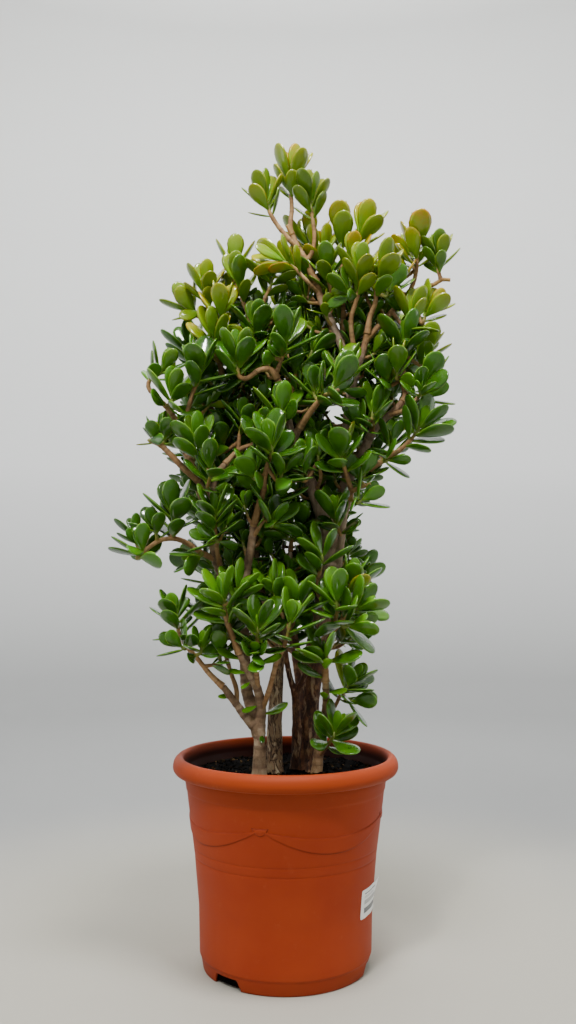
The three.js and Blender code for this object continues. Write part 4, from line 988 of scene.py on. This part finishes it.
brightShoots = {"branch_front_bright": 0.42, "branch_front_right": 0.2, "branch_front_low": 0.15,
                "branch_right_column": 0.2, "branch_right_shoot": 0.15}
# wood that no added leaf hides from the front: across, up, radius
bareWood = [(68, 567, 22), (59, 609, 16), (54, 646, 12), (-51, 638, 14), (-56, 597, 14),
            (-63, 557, 12), (-119, 668, 12), (-112, 624, 12), (-104, 587, 12), (-67, 857, 12),
            (-35, 854, 12), (-8, 845, 12), (21, 786, 14), (43, 808, 11), (28, 1007, 12),
            (48, 963, 14), (62, 926, 14), (99, 963, 8), (127, 963, 10), (132, 919, 10),
            (98, 705, 10), (88, 609, 10)]
# single leaves on old wood: across, up, depth, lean to the right and front, length, how young
loneLeaves = [(-45, 425, -45, -84, 12, 25, 0.5), (-46, 412, -46, -125, 25, 17, 0.3),
              (-42, 366, -48, -112, 20, 23, 0.2), (-30, 350, -45, 68, 24, 40, 0.25),
              (-28, 330, -45, 165, 40, 15, 0), (-38, 441, -52, 74, 15, 36, 0.4),
              (-40, 452, -52, -68, 15, 36, 0.3), (-74, 384, -54, -96, 10, 24, 0.2),
              (58, 427, -56, -78, 18, 48, 0.1), (58, 402, -46, -64, 22, 45, 0.1),
              (59, 405, -46, 58, 20, 38, 0.25), (59, 430, -57, 78, 16, 52, 0.1),
              (59, 372, -33, -20, 62, 27, 0.7), (57, 350, -23, -170, 50, 22, 0.75),
              (60, 385, -36, 84, 30, 30, 0.5), (57, 415, -48, 8, 58, 30, 0.75)]


# limbs as smooth lines: each sample holds x, y, z, radius and length so far
def sampled(limb, step):
    points = [(*p, r) for p, r in zip(limb["path"], limb["radii"])]
    line, gone, before = [], 0, None
    for x, y, z, radius in smoothLine(points, step):
        here = Vector((x, y, z))
        gone += (here - before).length if before is not None else 0
        before = here
        line.append((x, y, z, radius, gone))
    return line


# gives a leaf its sizes and a plain shell, by which it is tested against its neighbours
def sizeUp(leaf, pick):
    length, root, along = leaf["length"], leaf["root"], leaf["along"]
    leaf["width"] = length * pick.uniform(*leafLook["width"])
    leaf["thick"] = length * pick.uniform(*leafLook["thick"])
    leaf["across"] = leaf["face"].cross(along)
    corners, faces = [], []
    for share, wide, thick in leafRings["broad"][2::2]:
        centre = root + along * share * length
        centre += leaf["face"] * leafLook["curl"] * share * share * length
        side = leaf["across"] * 0.5 * wide * leaf["width"]
        up = leaf["face"] * 0.5 * thick * leaf["thick"]
        corners += [centre + side, centre + up, centre - side, centre - up]
    for first in range(0, len(corners) - 4, 4):
        for k in range(4):
            a, b = first + k, first + (k + 1) % 4
            faces.append((a, b, b + 4, a + 4))
    faces += [(0, 1, 2, 3), tuple(range(len(corners) - 4, len(corners)))]
    leaf["centre"] = root + along * 0.55 * length
    leaf["shell"] = BVHTree.FromPolygons(corners, faces)


# leaves kept by the cell of space they stand in
leafCells = {}
cellSize = 56


def cellOf(point):
    return tuple(math.floor(v / cellSize) for v in point)


def keepLeaf(leaf):
    leafCells.setdefault(cellOf(leaf["centre"]), []).append(leaf)
    return leaf


def leavesNear(point):
    for cell in itertools.product(*[(v - 1, v, v + 1) for v in cellOf(point)]):
        yield from leafCells.get(cell, ())


def meetsLeaf(leaf):
    return any((other["centre"] - leaf["centre"]).length < 0.56 * (leaf["length"] + other["length"])
               and leaf["shell"].overlap(other["shell"]) for other in leavesNear(leaf["centre"]))


everyLimb = [limb for limbs in stemLimbs.values() for limb in limbs]
everyLimb += [limb for branch in grown.values() for limb in branch["limbs"]]
woodPoints = [point for limb in everyLimb for point in sampled(limb, 6)]
woodRadii = [point[3] for point in woodPoints]
wood = treeOf([point[:3] for point in woodPoints])


# whether a point is in the wood or less than this near to it
def inWood(point, clear):
    _, index, away = wood.find(point)
    return away < woodRadii[index] + clear


def touchesWood(leaf):
    return any(inWood(leaf["root"] + leaf["along"] * share * leaf["length"], leafLook["clear"])
               for share in (0.5, 0.75, 1))


# the point this far down the twig of a rosette, and the way the twig goes there
def twigPoint(rosette, down):
    left = down - plant["twigTop"] * rosette["size"]
    if left <= 0:
        return rosette["base"] - rosette["axis"] * down, rosette["axis"]
    path = rosette["limb"]["path"][::-1]
    for end, start in zip(path, path[1:]):
        span = (end - start).length
        if left <= span:
            return end + (start - end) * (left / span), (end - start).normalized()
        left -= span
    return None, None


def hidesWood(leaf):
    centre = leaf["root"] + leaf["along"] * 0.6 * leaf["length"]
    if centre.y > leafLook["behind"]:
        return False
    spread = 1 + centre.y / plant["spreadDistance"]
    across, up = [m + (v - m) / spread for m, v in zip(plant["middle"], (centre.x, centre.z))]
    return any(math.hypot(across - a, up - u) < r for a, u, r in bareWood)


# adds pairs of leaves to a rosette wherever they have room
def addPairs(rosette, pairs, bright, pick):
    vary = leafLook["vary"]
    for down, firstSide, pairLean, share, young in pairs:
        point, along = twigPoint(rosette, down * rosette["size"])
        if point is None:
            continue
        first = (rosette["first"] - along * along.dot(rosette["first"])).normalized()
        around = {"axis": along, "first": first, "second": along.cross(first)}
        young = max(young, bright if down < 0 else bright * leafLook["bright"])
        for side in (firstSide, firstSide + 2):
            turn = rosette["turn"] + 90 * side
            sunk = leafLook["sunk"]["young" if down < 0 else "old"]
            root = point + outward(around, turn) * plant["twigRadius"] * sunk
            for leanMore, turnMore, shorter in changes:
                length = plant["leafLength"] * rosette["size"] * share * shorter
                length *= pick.uniform(*vary["length"])
                lean = pairLean * closing(rosette) + leanMore
                lean += pick.uniform(-vary["lean"], vary["lean"])
                turned = turn + turnMore + pick.uniform(-vary["turn"], vary["turn"])
                leaf = leafAt(around, root, turned, lean, length)
                if leaf["along"].z < leafLook["droop"] or hidesWood(leaf):
                    continue
                leaf["young"] = young
                sizeUp(leaf, pick)
                if not meetsLeaf(leaf) and not touchesWood(leaf):
                    rosette["leaves"].append(keepLeaf(leaf))
                    break


pick = random.Random(leafLook["seed"])
for name, branch in grown.items():
    for rosette in branch["rosettes"]:
        rosette["tone"] = pick.random()
        for leaf in rosette["leaves"]:
            leaf["young"] = brightShoots.get(name, 0) * pick.uniform(0.7, 1) + 0.12 * pick.random()
            sizeUp(leaf, pick)
            keepLeaf(leaf)
for across, up, depth, right, front, length, young in loneLeaves:
    way = rosetteOf(across, up, depth, right, front)["axis"]
    here, index, _ = wood.find(place(across, up, depth))
    face = Vector((0, -0.55, 0.83))
    leaf = {"root": here + way * woodRadii[index] * 0.9, "along": way, "length": length,
            "young": young, "face": (face - way * face.dot(way)).normalized()}
    sizeUp(leaf, pick)
    if not meetsLeaf(leaf):
        home = min(everyRosette(), key=lambda rosette: (rosette["base"] - here).length)
        home["leaves"].append(keepLeaf(leaf))
for name, branch in grown.items():
    for rosette in branch["rosettes"]:
        addPairs(rosette, morePairs, brightShoots.get(name, 0), pick)


# the nearest wood from which a side shoot can rise to its base
def rootingOf(base):
    low, high = shoots["reach"]
    for here, *_ in wood.find_n(base - Vector((0, 0, shoots["below"])), 12):
        if here.z < base.z - shoots["rise"] and low < (base - here).length < high:
            return here
    return None


# each side shoot bends up from the nearest limb, and is kept if enough of its leaves have room
pick = random.Random(shoots["seed"])
bases = [rosette["base"] for rosette in everyRosette()]
sides = shoots["sides"]
for _ in range(shoots["tries"]):
    up = pick.uniform(sides[0][0], sides[-1][0])
    low, high = [pair for pair in zip(sides, sides[1:]) if pair[0][0] <= up][-1]
    share = (up - low[0]) / (high[0] - low[0])
    left, right = [low[k] + (high[k] - low[k]) * share for k in (1, 2)]
    across, depth = pick.uniform(left, right), pick.uniform(*shoots["depths"])
    size = pick.uniform(*shoots["size"])
    base = place(across, up, depth)
    margin = shoots["margin"] * size
    if any(math.hypot(across - a, up - u) < r + margin for a, u, r in shoots["gaps"]):
        continue
    if any((base - other).length < shoots["clear"] for other in bases):
        continue
    rooting = rootingOf(base)
    if rooting is None:
        continue
    way = (base - rooting).normalized()
    rise = Vector((pick.uniform(*shoots["right"]), pick.uniform(*shoots["front"]), shoots["up"]))
    axis = (way * shoots["along"] + rise).normalized()
    out = (way - axis * shoots["bend"]).normalized()
    bend = rooting + out * (base - rooting).length * 0.5
    ahead = [rooting + (bend - rooting) * 0.6, bend, (bend + base) / 2, base]
    if any(leaf["shell"].find_nearest(point, shoots["offLeaf"])[0]
           for point in ahead for leaf in leavesNear(point)):
        continue
    if any(inWood(point, shoots["offWood"]) for point in ahead[1:]):
        continue
    # there are hundreds of them, so their leaves are the plain ones, which have fewer faces
    rosette = withSides({"base": base, "size": size, "kind": "plain", "leaves": []}, axis)
    rosette["turn"], rosette["tone"] = pick.random() * 90, pick.random()
    rosette["low"] = base - axis * plant["twigTop"] * size
    rosette["limb"] = {"path": [rooting, bend, rosette["low"]], "radii": shoots["radii"],
                       "side": True}
    addPairs(rosette, shootPairs, 0, pick)
    if len(rosette["leaves"]) < shoots["least"]:
        for leaf in rosette["leaves"]:
            leafCells[cellOf(leaf["centre"])].remove(leaf)
        continue
    home = min(grown.values(), key=lambda branch: min((r["base"] - base).length
                                                      for r in branch["rosettes"]))
    home["rosettes"].append(rosette)
    bases.append(base)
print("rosettes:", len(bases), "leaves:", countLeaves())


bark = {
    "step": 2.5, "stemSides": 28, "voxel": 1.85,
    "flare": (0.34, 13),      # share by which a foot spreads, and over how many mm of height
    "collar": (0.3, 7),       # the same where a limb leaves another
    "soilTop": 268,
    "ringPitch": (8, 17),     # between old leaf scars on the stems
    "ringSteps": (0.6, 0.05),  # by which these steps grow with the radius
    "ringSwell": 0.5, "ringWidth": 1.7,
    "twigSides": 6, "scarPitch": 6.6, "scarSwell": 0.42,
    "tip": {"last": 9, "smooth": (6, 16), "green": (34, 6)},  # of a twig, in mm from its end
    "lumps": (26, 0.09), "grain": (7, 0.3),  # size, then height as a share of the radius or in mm
    "folds": (3.2, 3.2, 26), "cloud": 21, "streak": 5, "fissure": 7, "seed": 8,
    "split": (1.1, 0.25), "even": 0.6,  # depth of the folds, and its loss further up
    "climb": (280, 620),      # height over which the bark changes from that of the foot
    "green": {"end": 60, "share": 0.45, "above": (600, 900)},  # young wood at the ends of limbs
    "knobs": (5, 0.25),       # size and height on the twigs
}


# bark of a succulent: thin, papery and dull, ringed by old leaf scars and split where it is old
def jadeBark(add, colours):
    dark, plain, pale, tan, stripe, ringTone, deep, raised, *above = colours
    place = add("TexCoord", out="Object")
    bend = add("TexNoise", {"Vector": place, "Scale": cells(bark["cloud"]), "Detail": 2}, "Color")
    bent = add("VectorMath", [bend, (0.012, 0.012, 0.012), place], operation="MULTIPLY_ADD")
    tall = add("Mapping", {0: bent, "Scale": (1, 1, 0.16)})
    scar, youth, crack = [add("Attribute", out="Fac", attribute_name=own)
                          for own in ("barkScar", "barkYouth", "barkCrack")]
    cloud, streak, flake = [
        add("TexNoise", {"Vector": vector, "Scale": cells(bark[own]), "Detail": detail,
                         "Roughness": rough, "Distortion": wave}, "Fac")
        for own, vector, detail, rough, wave in (
            ("cloud", place, 5, 0.65, 0), ("streak", tall, 5, 0.7, 0),
            ("fissure", tall, 4, 0.55, 0.6))]
    old = add("ValToRGB", [cloud], stops=[(0.36, dark), (0.52, plain), (0.68, pale)])
    if above:  # painted light: an old trunk is painted greyer and paler further up, where it leaves the shade of the low shoots
        height = add("SeparateXYZ", [place], "Z")
        height = add("MapRange", [height, 0.44, 0.54, 0, 0.8])
        old = add("Mix", {0: height, 6: old, 7: above[0]}, data_type="RGBA")
    worn = add("MapRange", [streak, 0.4, 0.65, 0, 0.6])
    young = add("ValToRGB", [youth], stops=[(0.35, tan), (0.95, "#7c8a35")])
    fresh = add("MapRange", [youth, 0.1, 0.5])
    split = add("Math", [flake, 0.5], operation="SUBTRACT")
    split = add("Math", [split], operation="ABSOLUTE")
    gap, ridge = [add("Math", [add("MapRange", values), crack], operation="MULTIPLY")
                  for values in ((split, 0.012, 0.05, 0.95, 0), (flake, 0.56, 0.66, 0, 0.8))]
    ring = add("MapRange", [cloud, 0.35, 0.65, 0.25, 0.85])
    ring = add("Math", [ring, scar], operation="MULTIPLY")
    # worn streaks, young green wood, raised flakes, dark gaps between them and old leaf scars
    colour = old
    for share, layer in ((worn, stripe), (fresh, young), (ridge, raised), (gap, deep),
                         (ring, ringTone)):
        colour = add("Mix", {0: share, 6: colour, 7: layer}, data_type="RGBA")
    relief = add("Math", [streak, gap], operation="SUBTRACT")
    relief = add("Math", [ridge, relief], operation="ADD")
    bump = add("Bump", {"Strength": 0.75, "Distance": 1.3 * mm, "Height": relief})
    rough = add("MapRange", {0: youth, 3: 0.8, 4: 0.5})
    return {"Base Color": colour, "Roughness": rough, "Normal": bump}


def tubeOf(lines, sides, name):
    curve = bpy.data.curves.new(name, "CURVE")
    curve.dimensions = "3D"
    curve.bevel_depth = mm
    curve.bevel_resolution = (sides - 4) // 2
    curve.use_fill_caps = True
    for line in lines:
        spline = curve.splines.new("POLY")
        spline.points.add(len(line) - 1)
        for point, (x, y, z, radius, _) in zip(spline.points, line):
            point.co = (x * mm, y * mm, z * mm, 1)
            point.radius = radius
    obj = bpy.data.objects.new(name, curve)
    bpy.context.scene.collection.objects.link(obj)
    pickOnly(obj)
    bpy.ops.object.convert(target="MESH")
    obj = bpy.context.object
    obj.name = name
    closeAndTurnOut()
    return obj


# bark, how far it is split at the foot and further up, how clear its rings are, how rough it is
stemLooks = {
    "stem_front": ("smooth", (0.12, 0.0), 1.0, 0.35),
    "stem_cracked": ("cracked", (1.0, 0.55), 0.25, 1.0),
    "stem_main": ("dark", (0.85, 0.1), 0.6, 0.8),
    "stem_right": ("twig", (0.2, 0.0), 1.0, 0.3),
    "stem_back": ("dark", (0.5, 0.1), 0.8, 0.5),
}
# dark, plain, pale, tan, streak, scar, gap, ridge, and the tone painted on an old trunk further up,
# where more light falls on it
barkColours = {
    "smooth": ("#5c452f", "#8d7153", "#bba587", "#b0824c", "#94795a", "#54392a", "#4a3a28",
               "#c9b592"),
    "cracked": ("#80634a", "#a68966", "#c8ae88", "#ab8350", "#8d6e50", "#5f4630", "#382417",
                "#ead6b0"),
    "dark": ("#432717", "#73482b", "#ac8257", "#9c6a3c", "#5f3822", "#3a2217", "#20110a",
             "#cdb08a", "#c0a88e"),
    "twig": ("#75583c", "#a3825b", "#c4a67c", "#ad7f45", "#87623f", "#4f2e1a", "#3b2716",
             "#b4936c"),
}
barks = {own: newMaterial(own + "JadeBark", jadeBark, colours)
         for own, colours in barkColours.items()}


def makeStem(name):
    pick = random.Random(bark["seed"] + len(name))
    _, (low, high), clear, rough = stemLooks[name]
    lines = []
    for i, limb in enumerate(stemLimbs[name]):
        share, reach = bark["collar"] if i else bark["flare"]
        lines.append([])
        for x, y, z, radius, gone in sampled(limb, bark["step"]):
            away = gone if i else max(0, z - bark["soilTop"])
            lines[-1].append((x, y, z, radius * (1 + share * math.exp(-away / reach)), gone))
    stem = tubeOf(lines, bark["stemSides"], name + "_bark")
    applyModifier("REMESH", mode="VOXEL", voxel_size=bark["voxel"] * mm)
    applyModifier("SMOOTH", factor=0.5, iterations=4)
    # old leaf scars ring each limb at uneven steps
    facts, (least, more) = [], bark["ringSteps"]
    for line in lines:
        ring, rings = 0, []
        while ring < line[-1][4]:
            ring += pick.uniform(*bark["ringPitch"]) * (least + more * line[0][3])
            rings.append(ring)
        facts += [(Vector((x, y, z)), radius, min(abs(gone - r) for r in rings), line[-1][4] - gone)
                  for x, y, z, radius, gone in line]
    samples = treeOf([fact[0] for fact in facts])
    (deep, rise), green = bark["split"], bark["green"]
    scar, youth, crack = [], [], []
    for vertex in stem.data.vertices:
        here = vertex.co / mm
        centre, radius, toRing, toEnd = facts[samples.find(here)[1]]
        height = smoothstep(*bark["climb"], here.z)
        folds = noise.noise(Vector([v / size for v, size in zip(here, bark["folds"])]))
        fissure = -abs(folds) * deep + rise
        lump, grain = [noise.noise(here / size) * high for size, high in (bark["lumps"],
                                                                          bark["grain"])]
        swell = bell(toRing, bark["ringWidth"]) * clear
        ridged = rough * (1 - bark["even"] * height)
        out = lump * radius + grain + ridged * fissure + bark["ringSwell"] * swell
        vertex.co += (here - centre).normalized() * out * mm
        scar.append(bell(toRing - 1.1, 1) * clear)
        youth.append(green["share"] * smoothstep(green["end"], 0, toEnd)
                     * smoothstep(*green["above"], here.z))
        crack.append(low + (high - low) * height)
    setAttributes(stem, barkScar=scar, barkYouth=youth, barkCrack=crack)
    return stem


for name in stems:
    finished(makeStem(name), barks[stemLooks[name][0]], "bark", name)
print("stems made")


# the twigs of a branch, swollen and ringed at each pair of old leaf scars
def makeTwigs(name, branch):
    rosettes, tip, lines, facts = branch["rosettes"], bark["tip"], [], []
    for limb in branch["limbs"] + [r["limb"] for r in rosettes if r["limb"].get("side")]:
        ending = next((r for r in rosettes if r["limb"] is limb), None)
        path, radii = list(limb["path"]), list(limb["radii"])
        if ending:
            reach = plant["twigTop"] * ending["size"]
            path += [ending["base"], ending["base"] + ending["axis"] * reach]
            radii += [1.05 * plant["twigRadius"], 0.6 * plant["twigRadius"]]
        line = sampled({"path": path, "radii": radii}, bark["scarPitch"] / 2.4)
        share, reach = bark["collar"]
        swollen = []
        for x, y, z, radius, gone in line:
            left = line[-1][4] - gone
            toScar = abs((left - tip["last"]) / bark["scarPitch"] % 1 - 0.5) * 2  # 1 at a scar
            ring = smoothstep(0.35, 1, toScar) * smoothstep(*tip["smooth"], left)
            radius = radius * (1 + share * math.exp(-gone / reach)) + bark["scarSwell"] * ring
            swollen.append((x, y, z, radius, gone))
            facts.append((Vector((x, y, z)), ring, left, ending is not None))
        lines.append(swollen)
    twigs = tubeOf(lines, bark["twigSides"], name + "_twigs")
    samples = treeOf([fact[0] for fact in facts])
    size, high = bark["knobs"]
    scar, youth = [], []
    for vertex in twigs.data.vertices:
        here = vertex.co / mm
        _, ring, toEnd, leafy = facts[samples.find(here)[1]]
        scar.append(0.8 * smoothstep(0.5, 1, ring))
        youth.append((smoothstep(*tip["green"], toEnd) if leafy else 0.25) * 0.75 + 0.25)
        vertex.co += noise.noise_vector(here / size) * high * mm
    setAttributes(twigs, barkScar=scar, barkYouth=youth, barkCrack=0.0)
    return twigs


noise.seed_set(bark["seed"])  # without it noise_vector differs from run to run
for name, branch in grown.items():
    finished(makeTwigs(name, branch), barks["twig"], "bark", name)
print("twigs made")


# jade leaf: thick skin under a thin wax, so a narrow bright gloss over a soft deep green
def jadeLeaf(add):
    place = add("TexCoord", out="Object")
    along, rim, upper, sun, young, tone = [
        add("Attribute", out="Fac", attribute_name="leaf" + own)
        for own in ("Along", "Rim", "Upper", "Sun", "Young", "Tone")]
    cloud = add("TexNoise", {"Vector": place, "Scale": cells(leafLook["cloud"]), "Detail": 4,
                             "Roughness": 0.6}, "Fac")
    dots = add("TexVoronoi", {"Vector": place, "Scale": cells(leafLook["dots"])})
    green, fresh, olive = [add("ValToRGB", [value], stops=stops) for value, stops in (
        (tone, [(0, "#0a2901"), (0.5, "#1e4a03"), (1, "#467a08")]),
        (along, [(0, "#55a00c"), (1, "#83bd18")]),
        (along, [(0.1, "#6f9d05"), (0.55, "#9cb004"), (1, "#b4ab04")]))]
    half, tip, patch, ripe, stalk, edge, speck, rough = [add("MapRange", values) for values in (
        (cloud, 0.3, 0.7, 0, 0.35), (along, 0.45, 1), (cloud, 0.38, 0.6, 0, 0.9), (sun, 0.7, 1),
        (along, 0.02, 0.3, 0.75, 0), (rim, 0.88, 1, 0, 0.75), (dots, 0.1, 0.3, 0.14, 0),
        (cloud, 0.3, 0.7, 0.14, 0.28))]
    under = add("Math", [1.0, upper], operation="SUBTRACT")
    blush = add("Math", [tip, ripe], operation="MULTIPLY")
    sunny, blush, dull = [add("Math", values, operation="MULTIPLY")
                          for values in ((sun, 0.85), (blush, patch), (under, 0.22))]
    line = add("Mix", {0: sun, 6: "#86b43a", 7: "#9c3508"}, data_type="RGBA")
    # clouds, young leaves, leaves in the sun with a blush, underside, stalk, rim and pores
    for share, layer in ((half, "#568c0b"), (young, fresh), (sunny, olive), (blush, "#cf6306"),
                         (dull, "#4f8a20"), (stalk, "#7fa834"), (edge, line), (speck, "#9dbb62")):
        green = add("Mix", {0: share, 6: green, 7: layer}, data_type="RGBA")
    matt = add("Math", [under, 0.14, rough], operation="MULTIPLY_ADD")
    swell = add("Math", [dots, 0.1, cloud], operation="MULTIPLY_ADD")
    bump = add("Bump", {"Strength": 0.3, "Distance": 0.8 * mm, "Height": swell})
    return {"Base Color": green, "Roughness": matt, "Normal": bump, "IOR": 1.45,
            "Subsurface Weight": 0.06, "Subsurface Scale": 4 * mm, "Specular IOR Level": 0.18,
            "Coat Weight": 0.75, "Coat Roughness": 0.06}


# one leaf, 1 long, 1 wide and 1 thick, along Z with its upper face to Y
def makeLeaf(kind):
    rings = leafRings[kind]
    count = len(rings) + 1
    bpy.ops.mesh.primitive_uv_sphere_add(segments=leafLook["sides"], ring_count=count, radius=1)
    leaf = bpy.context.object
    leaf.name = kind + "Leaf"
    heights = [round(-math.cos(math.pi * k / count), 4) for k in range(1, count)]
    along, rim, upper = [], [], []
    for vertex in leaf.data.vertices:
        x, y, z = vertex.co
        share, wide, thick, across, face = 0 if z < 0 else 1, 0, 0, 0, 0  # of a pole
        if abs(z) < 0.999:
            row = min(range(len(rings)), key=lambda k: abs(heights[k] - z))
            share, wide, thick = rings[row]
            flat = math.sqrt(1 - z * z)
            across, face = x / flat, y / flat
        body = face * thick * (1 - leafLook["valley"] * (face > 0.9))
        cup = leafLook["cup"] * across * across * wide * wide * (1 - share)
        vertex.co = (0.5 * wide * across, 0.5 * body + 0.2 * cup, share)
        along.append(share)
        rim.append(max(abs(across), smoothstep(leafLook["rim"], 1, share)))
        upper.append(0.5 + 0.5 * max(-1, min(1, 3 * face)))  # 1 on the upper face, 0 below
    setAttributes(leaf, leafAlong=along, leafRim=rim, leafUpper=upper)
    return leaf


leafSkin = newMaterial("jadeLeaf", jadeLeaf)
masters = {kind: makeLeaf(kind) for kind in leafRings}
look = leafLook["sun"]
shared, single = leafLook["tones"]
pick = random.Random(leafLook["seed"])
for name, branch in grown.items():
    made = []
    for rosette in branch["rosettes"]:
        for leaf in rosette["leaves"]:
            axes = Matrix([leaf["across"] * leaf["width"], leaf["face"] * leaf["thick"],
                           leaf["along"] * leaf["length"]]).transposed()
            matrix = Matrix.Translation(leaf["root"] * mm) @ (axes * mm).to_4x4()
            own = "slim" if leaf["young"] > leafLook["slim"] else "broad"
            kind = rosette.get("kind", own)
            copy = copyOf(masters[kind], matrix)
            curl = leaf["face"] * leafLook["curl"] * leaf["length"] * mm
            shares = copy.data.attributes["leafAlong"].data
            for vertex, share in zip(copy.data.vertices, shares):
                vertex.co += curl * share.value ** 2
            height = leaf["centre"].z + look["tone"] * (rosette["tone"] - look["middle"])
            height += pick.uniform(-look["spread"], look["spread"])
            sun = smoothstep(*look["height"], height) * pick.uniform(look["least"], 1)
            sun *= look["shade"] if kind == "plain" else 1
            if pick.random() < leafLook["fading"]:
                sun = pick.uniform(*leafLook["faded"])
            tone = shared * rosette["tone"] + single * pick.random()
            setAttributes(copy, leafSun=sun, leafYoung=leaf["young"], leafTone=tone)
            made.append(copy)
    if made:
        finished(joined(made, name + "_leaves"), leafSkin, "leaf", name)
for master in masters.values():
    bpy.data.objects.remove(master)
print("leaves made")


stage = {
    # mm, a round bay that is pale from every side
    "radius": 3400, "bend": 900, "high": 3300, "sides": 128, "mottle": 400,
    "floor": "#aca89c", "far": "#8d8e8e", "wall": "#d9dada", "ceiling": "#e6e7e5",
    "wash": 118, "world": 0.02,  # power of the light on the bay, and of the air
}
# name, place, aim, power and size in m
lights = [("top", (0.15, -0.5, 2.35), (0, 0.05, 0.5), 47, 0.5),
          ("key", (-0.5, -1.4, 2.3), (0, 0, 0.8), 34, 0.25),
          ("fill", (0.4, -2.2, 1.0), (0, 0, 0.5), 0.8, 1.0),
          ("flank", (-1.8, -0.15, 0.9), (0, 0, 0.4), 3.6, 0.8),
          ("flank", (1.8, -0.15, 0.9), (0, 0, 0.4), 3.6, 0.8)]
# each lights its side of the bay with this share of the wash
for x, y, share in ((0, 1, 1.0), (-1, 0, 0.26), (1, 0, 0.26), (0, -1, 0.14)):
    lights.append(("wash", (1.3 * x, 1.3 * y, 3.0), (3.4 * x, 3.4 * y, 1.7),
                   stage["wash"] * share, 2.0))


# painted plaster: pale and dull, a little warmer round the pot, painted darker low down and paler
# the higher it is, as painted shade and light from lamps above
def paintedPlaster(add):
    place = add("TexCoord", out="Object")
    grain = add("TexNoise", {"Vector": place, "Scale": cells(stage["mottle"]), "Detail": 2}, "Fac")
    height = add("SeparateXYZ", [place], "Z")
    height = add("MapRange", [height, 0.1, 3.3])
    # painted shade low down and painted light up high, as if the lamps above fell off toward the
    # floor
    colour = add("ValToRGB", [height], stops=[
        (0, stage["far"]), (0.3, stage["wall"]), (0.75, stage["ceiling"])])
    away = add("VectorMath", [place], "Value", operation="LENGTH")
    near = add("MapRange", [away, 0.35, 1.1, 1, 0], interpolation_type="SMOOTHSTEP")
    faint = add("MapRange", {0: grain, 3: 0, 4: 0.06})
    for share, layer in ((near, stage["floor"]), (faint, "#b9b5ab")):
        colour = add("Mix", {0: share, 6: colour, 7: layer}, data_type="RGBA")
    return {"Base Color": colour, "Roughness": 0.8}


radius, bend = stage["radius"], stage["bend"]
outline = [(20, 0), (1200, 0), (radius - bend, 0)]
for k in range(1, 17):
    turn = math.pi / 2 * k / 16
    outline.append((radius - bend + bend * math.sin(turn), bend - bend * math.cos(turn)))
bay = turned("bay", outline + [(radius, stage["high"])], stage["sides"])
bpy.ops.object.shade_smooth()
bay.data.materials.append(newMaterial("paintedPlaster", paintedPlaster))

for name, location, aim, power, size in lights:
    bpy.ops.object.light_add(type="AREA", location=location)
    light = bpy.context.object
    light.name = name
    light.rotation_euler = (Vector(aim) - Vector(location)).to_track_quat("-Z", "Y").to_euler()
    light.data.energy = power
    light.data.shape = "DISK"
    light.data.size = size
    light.visible_camera = False
world = bpy.data.worlds.new("studio")
bpy.context.scene.world = world
world.use_nodes = True
air = world.node_tree.nodes["Background"]
air.inputs[0].default_value = toLinear("#f2f5fa")
air.inputs[1].default_value = stage["world"]
print("stage and lights made")
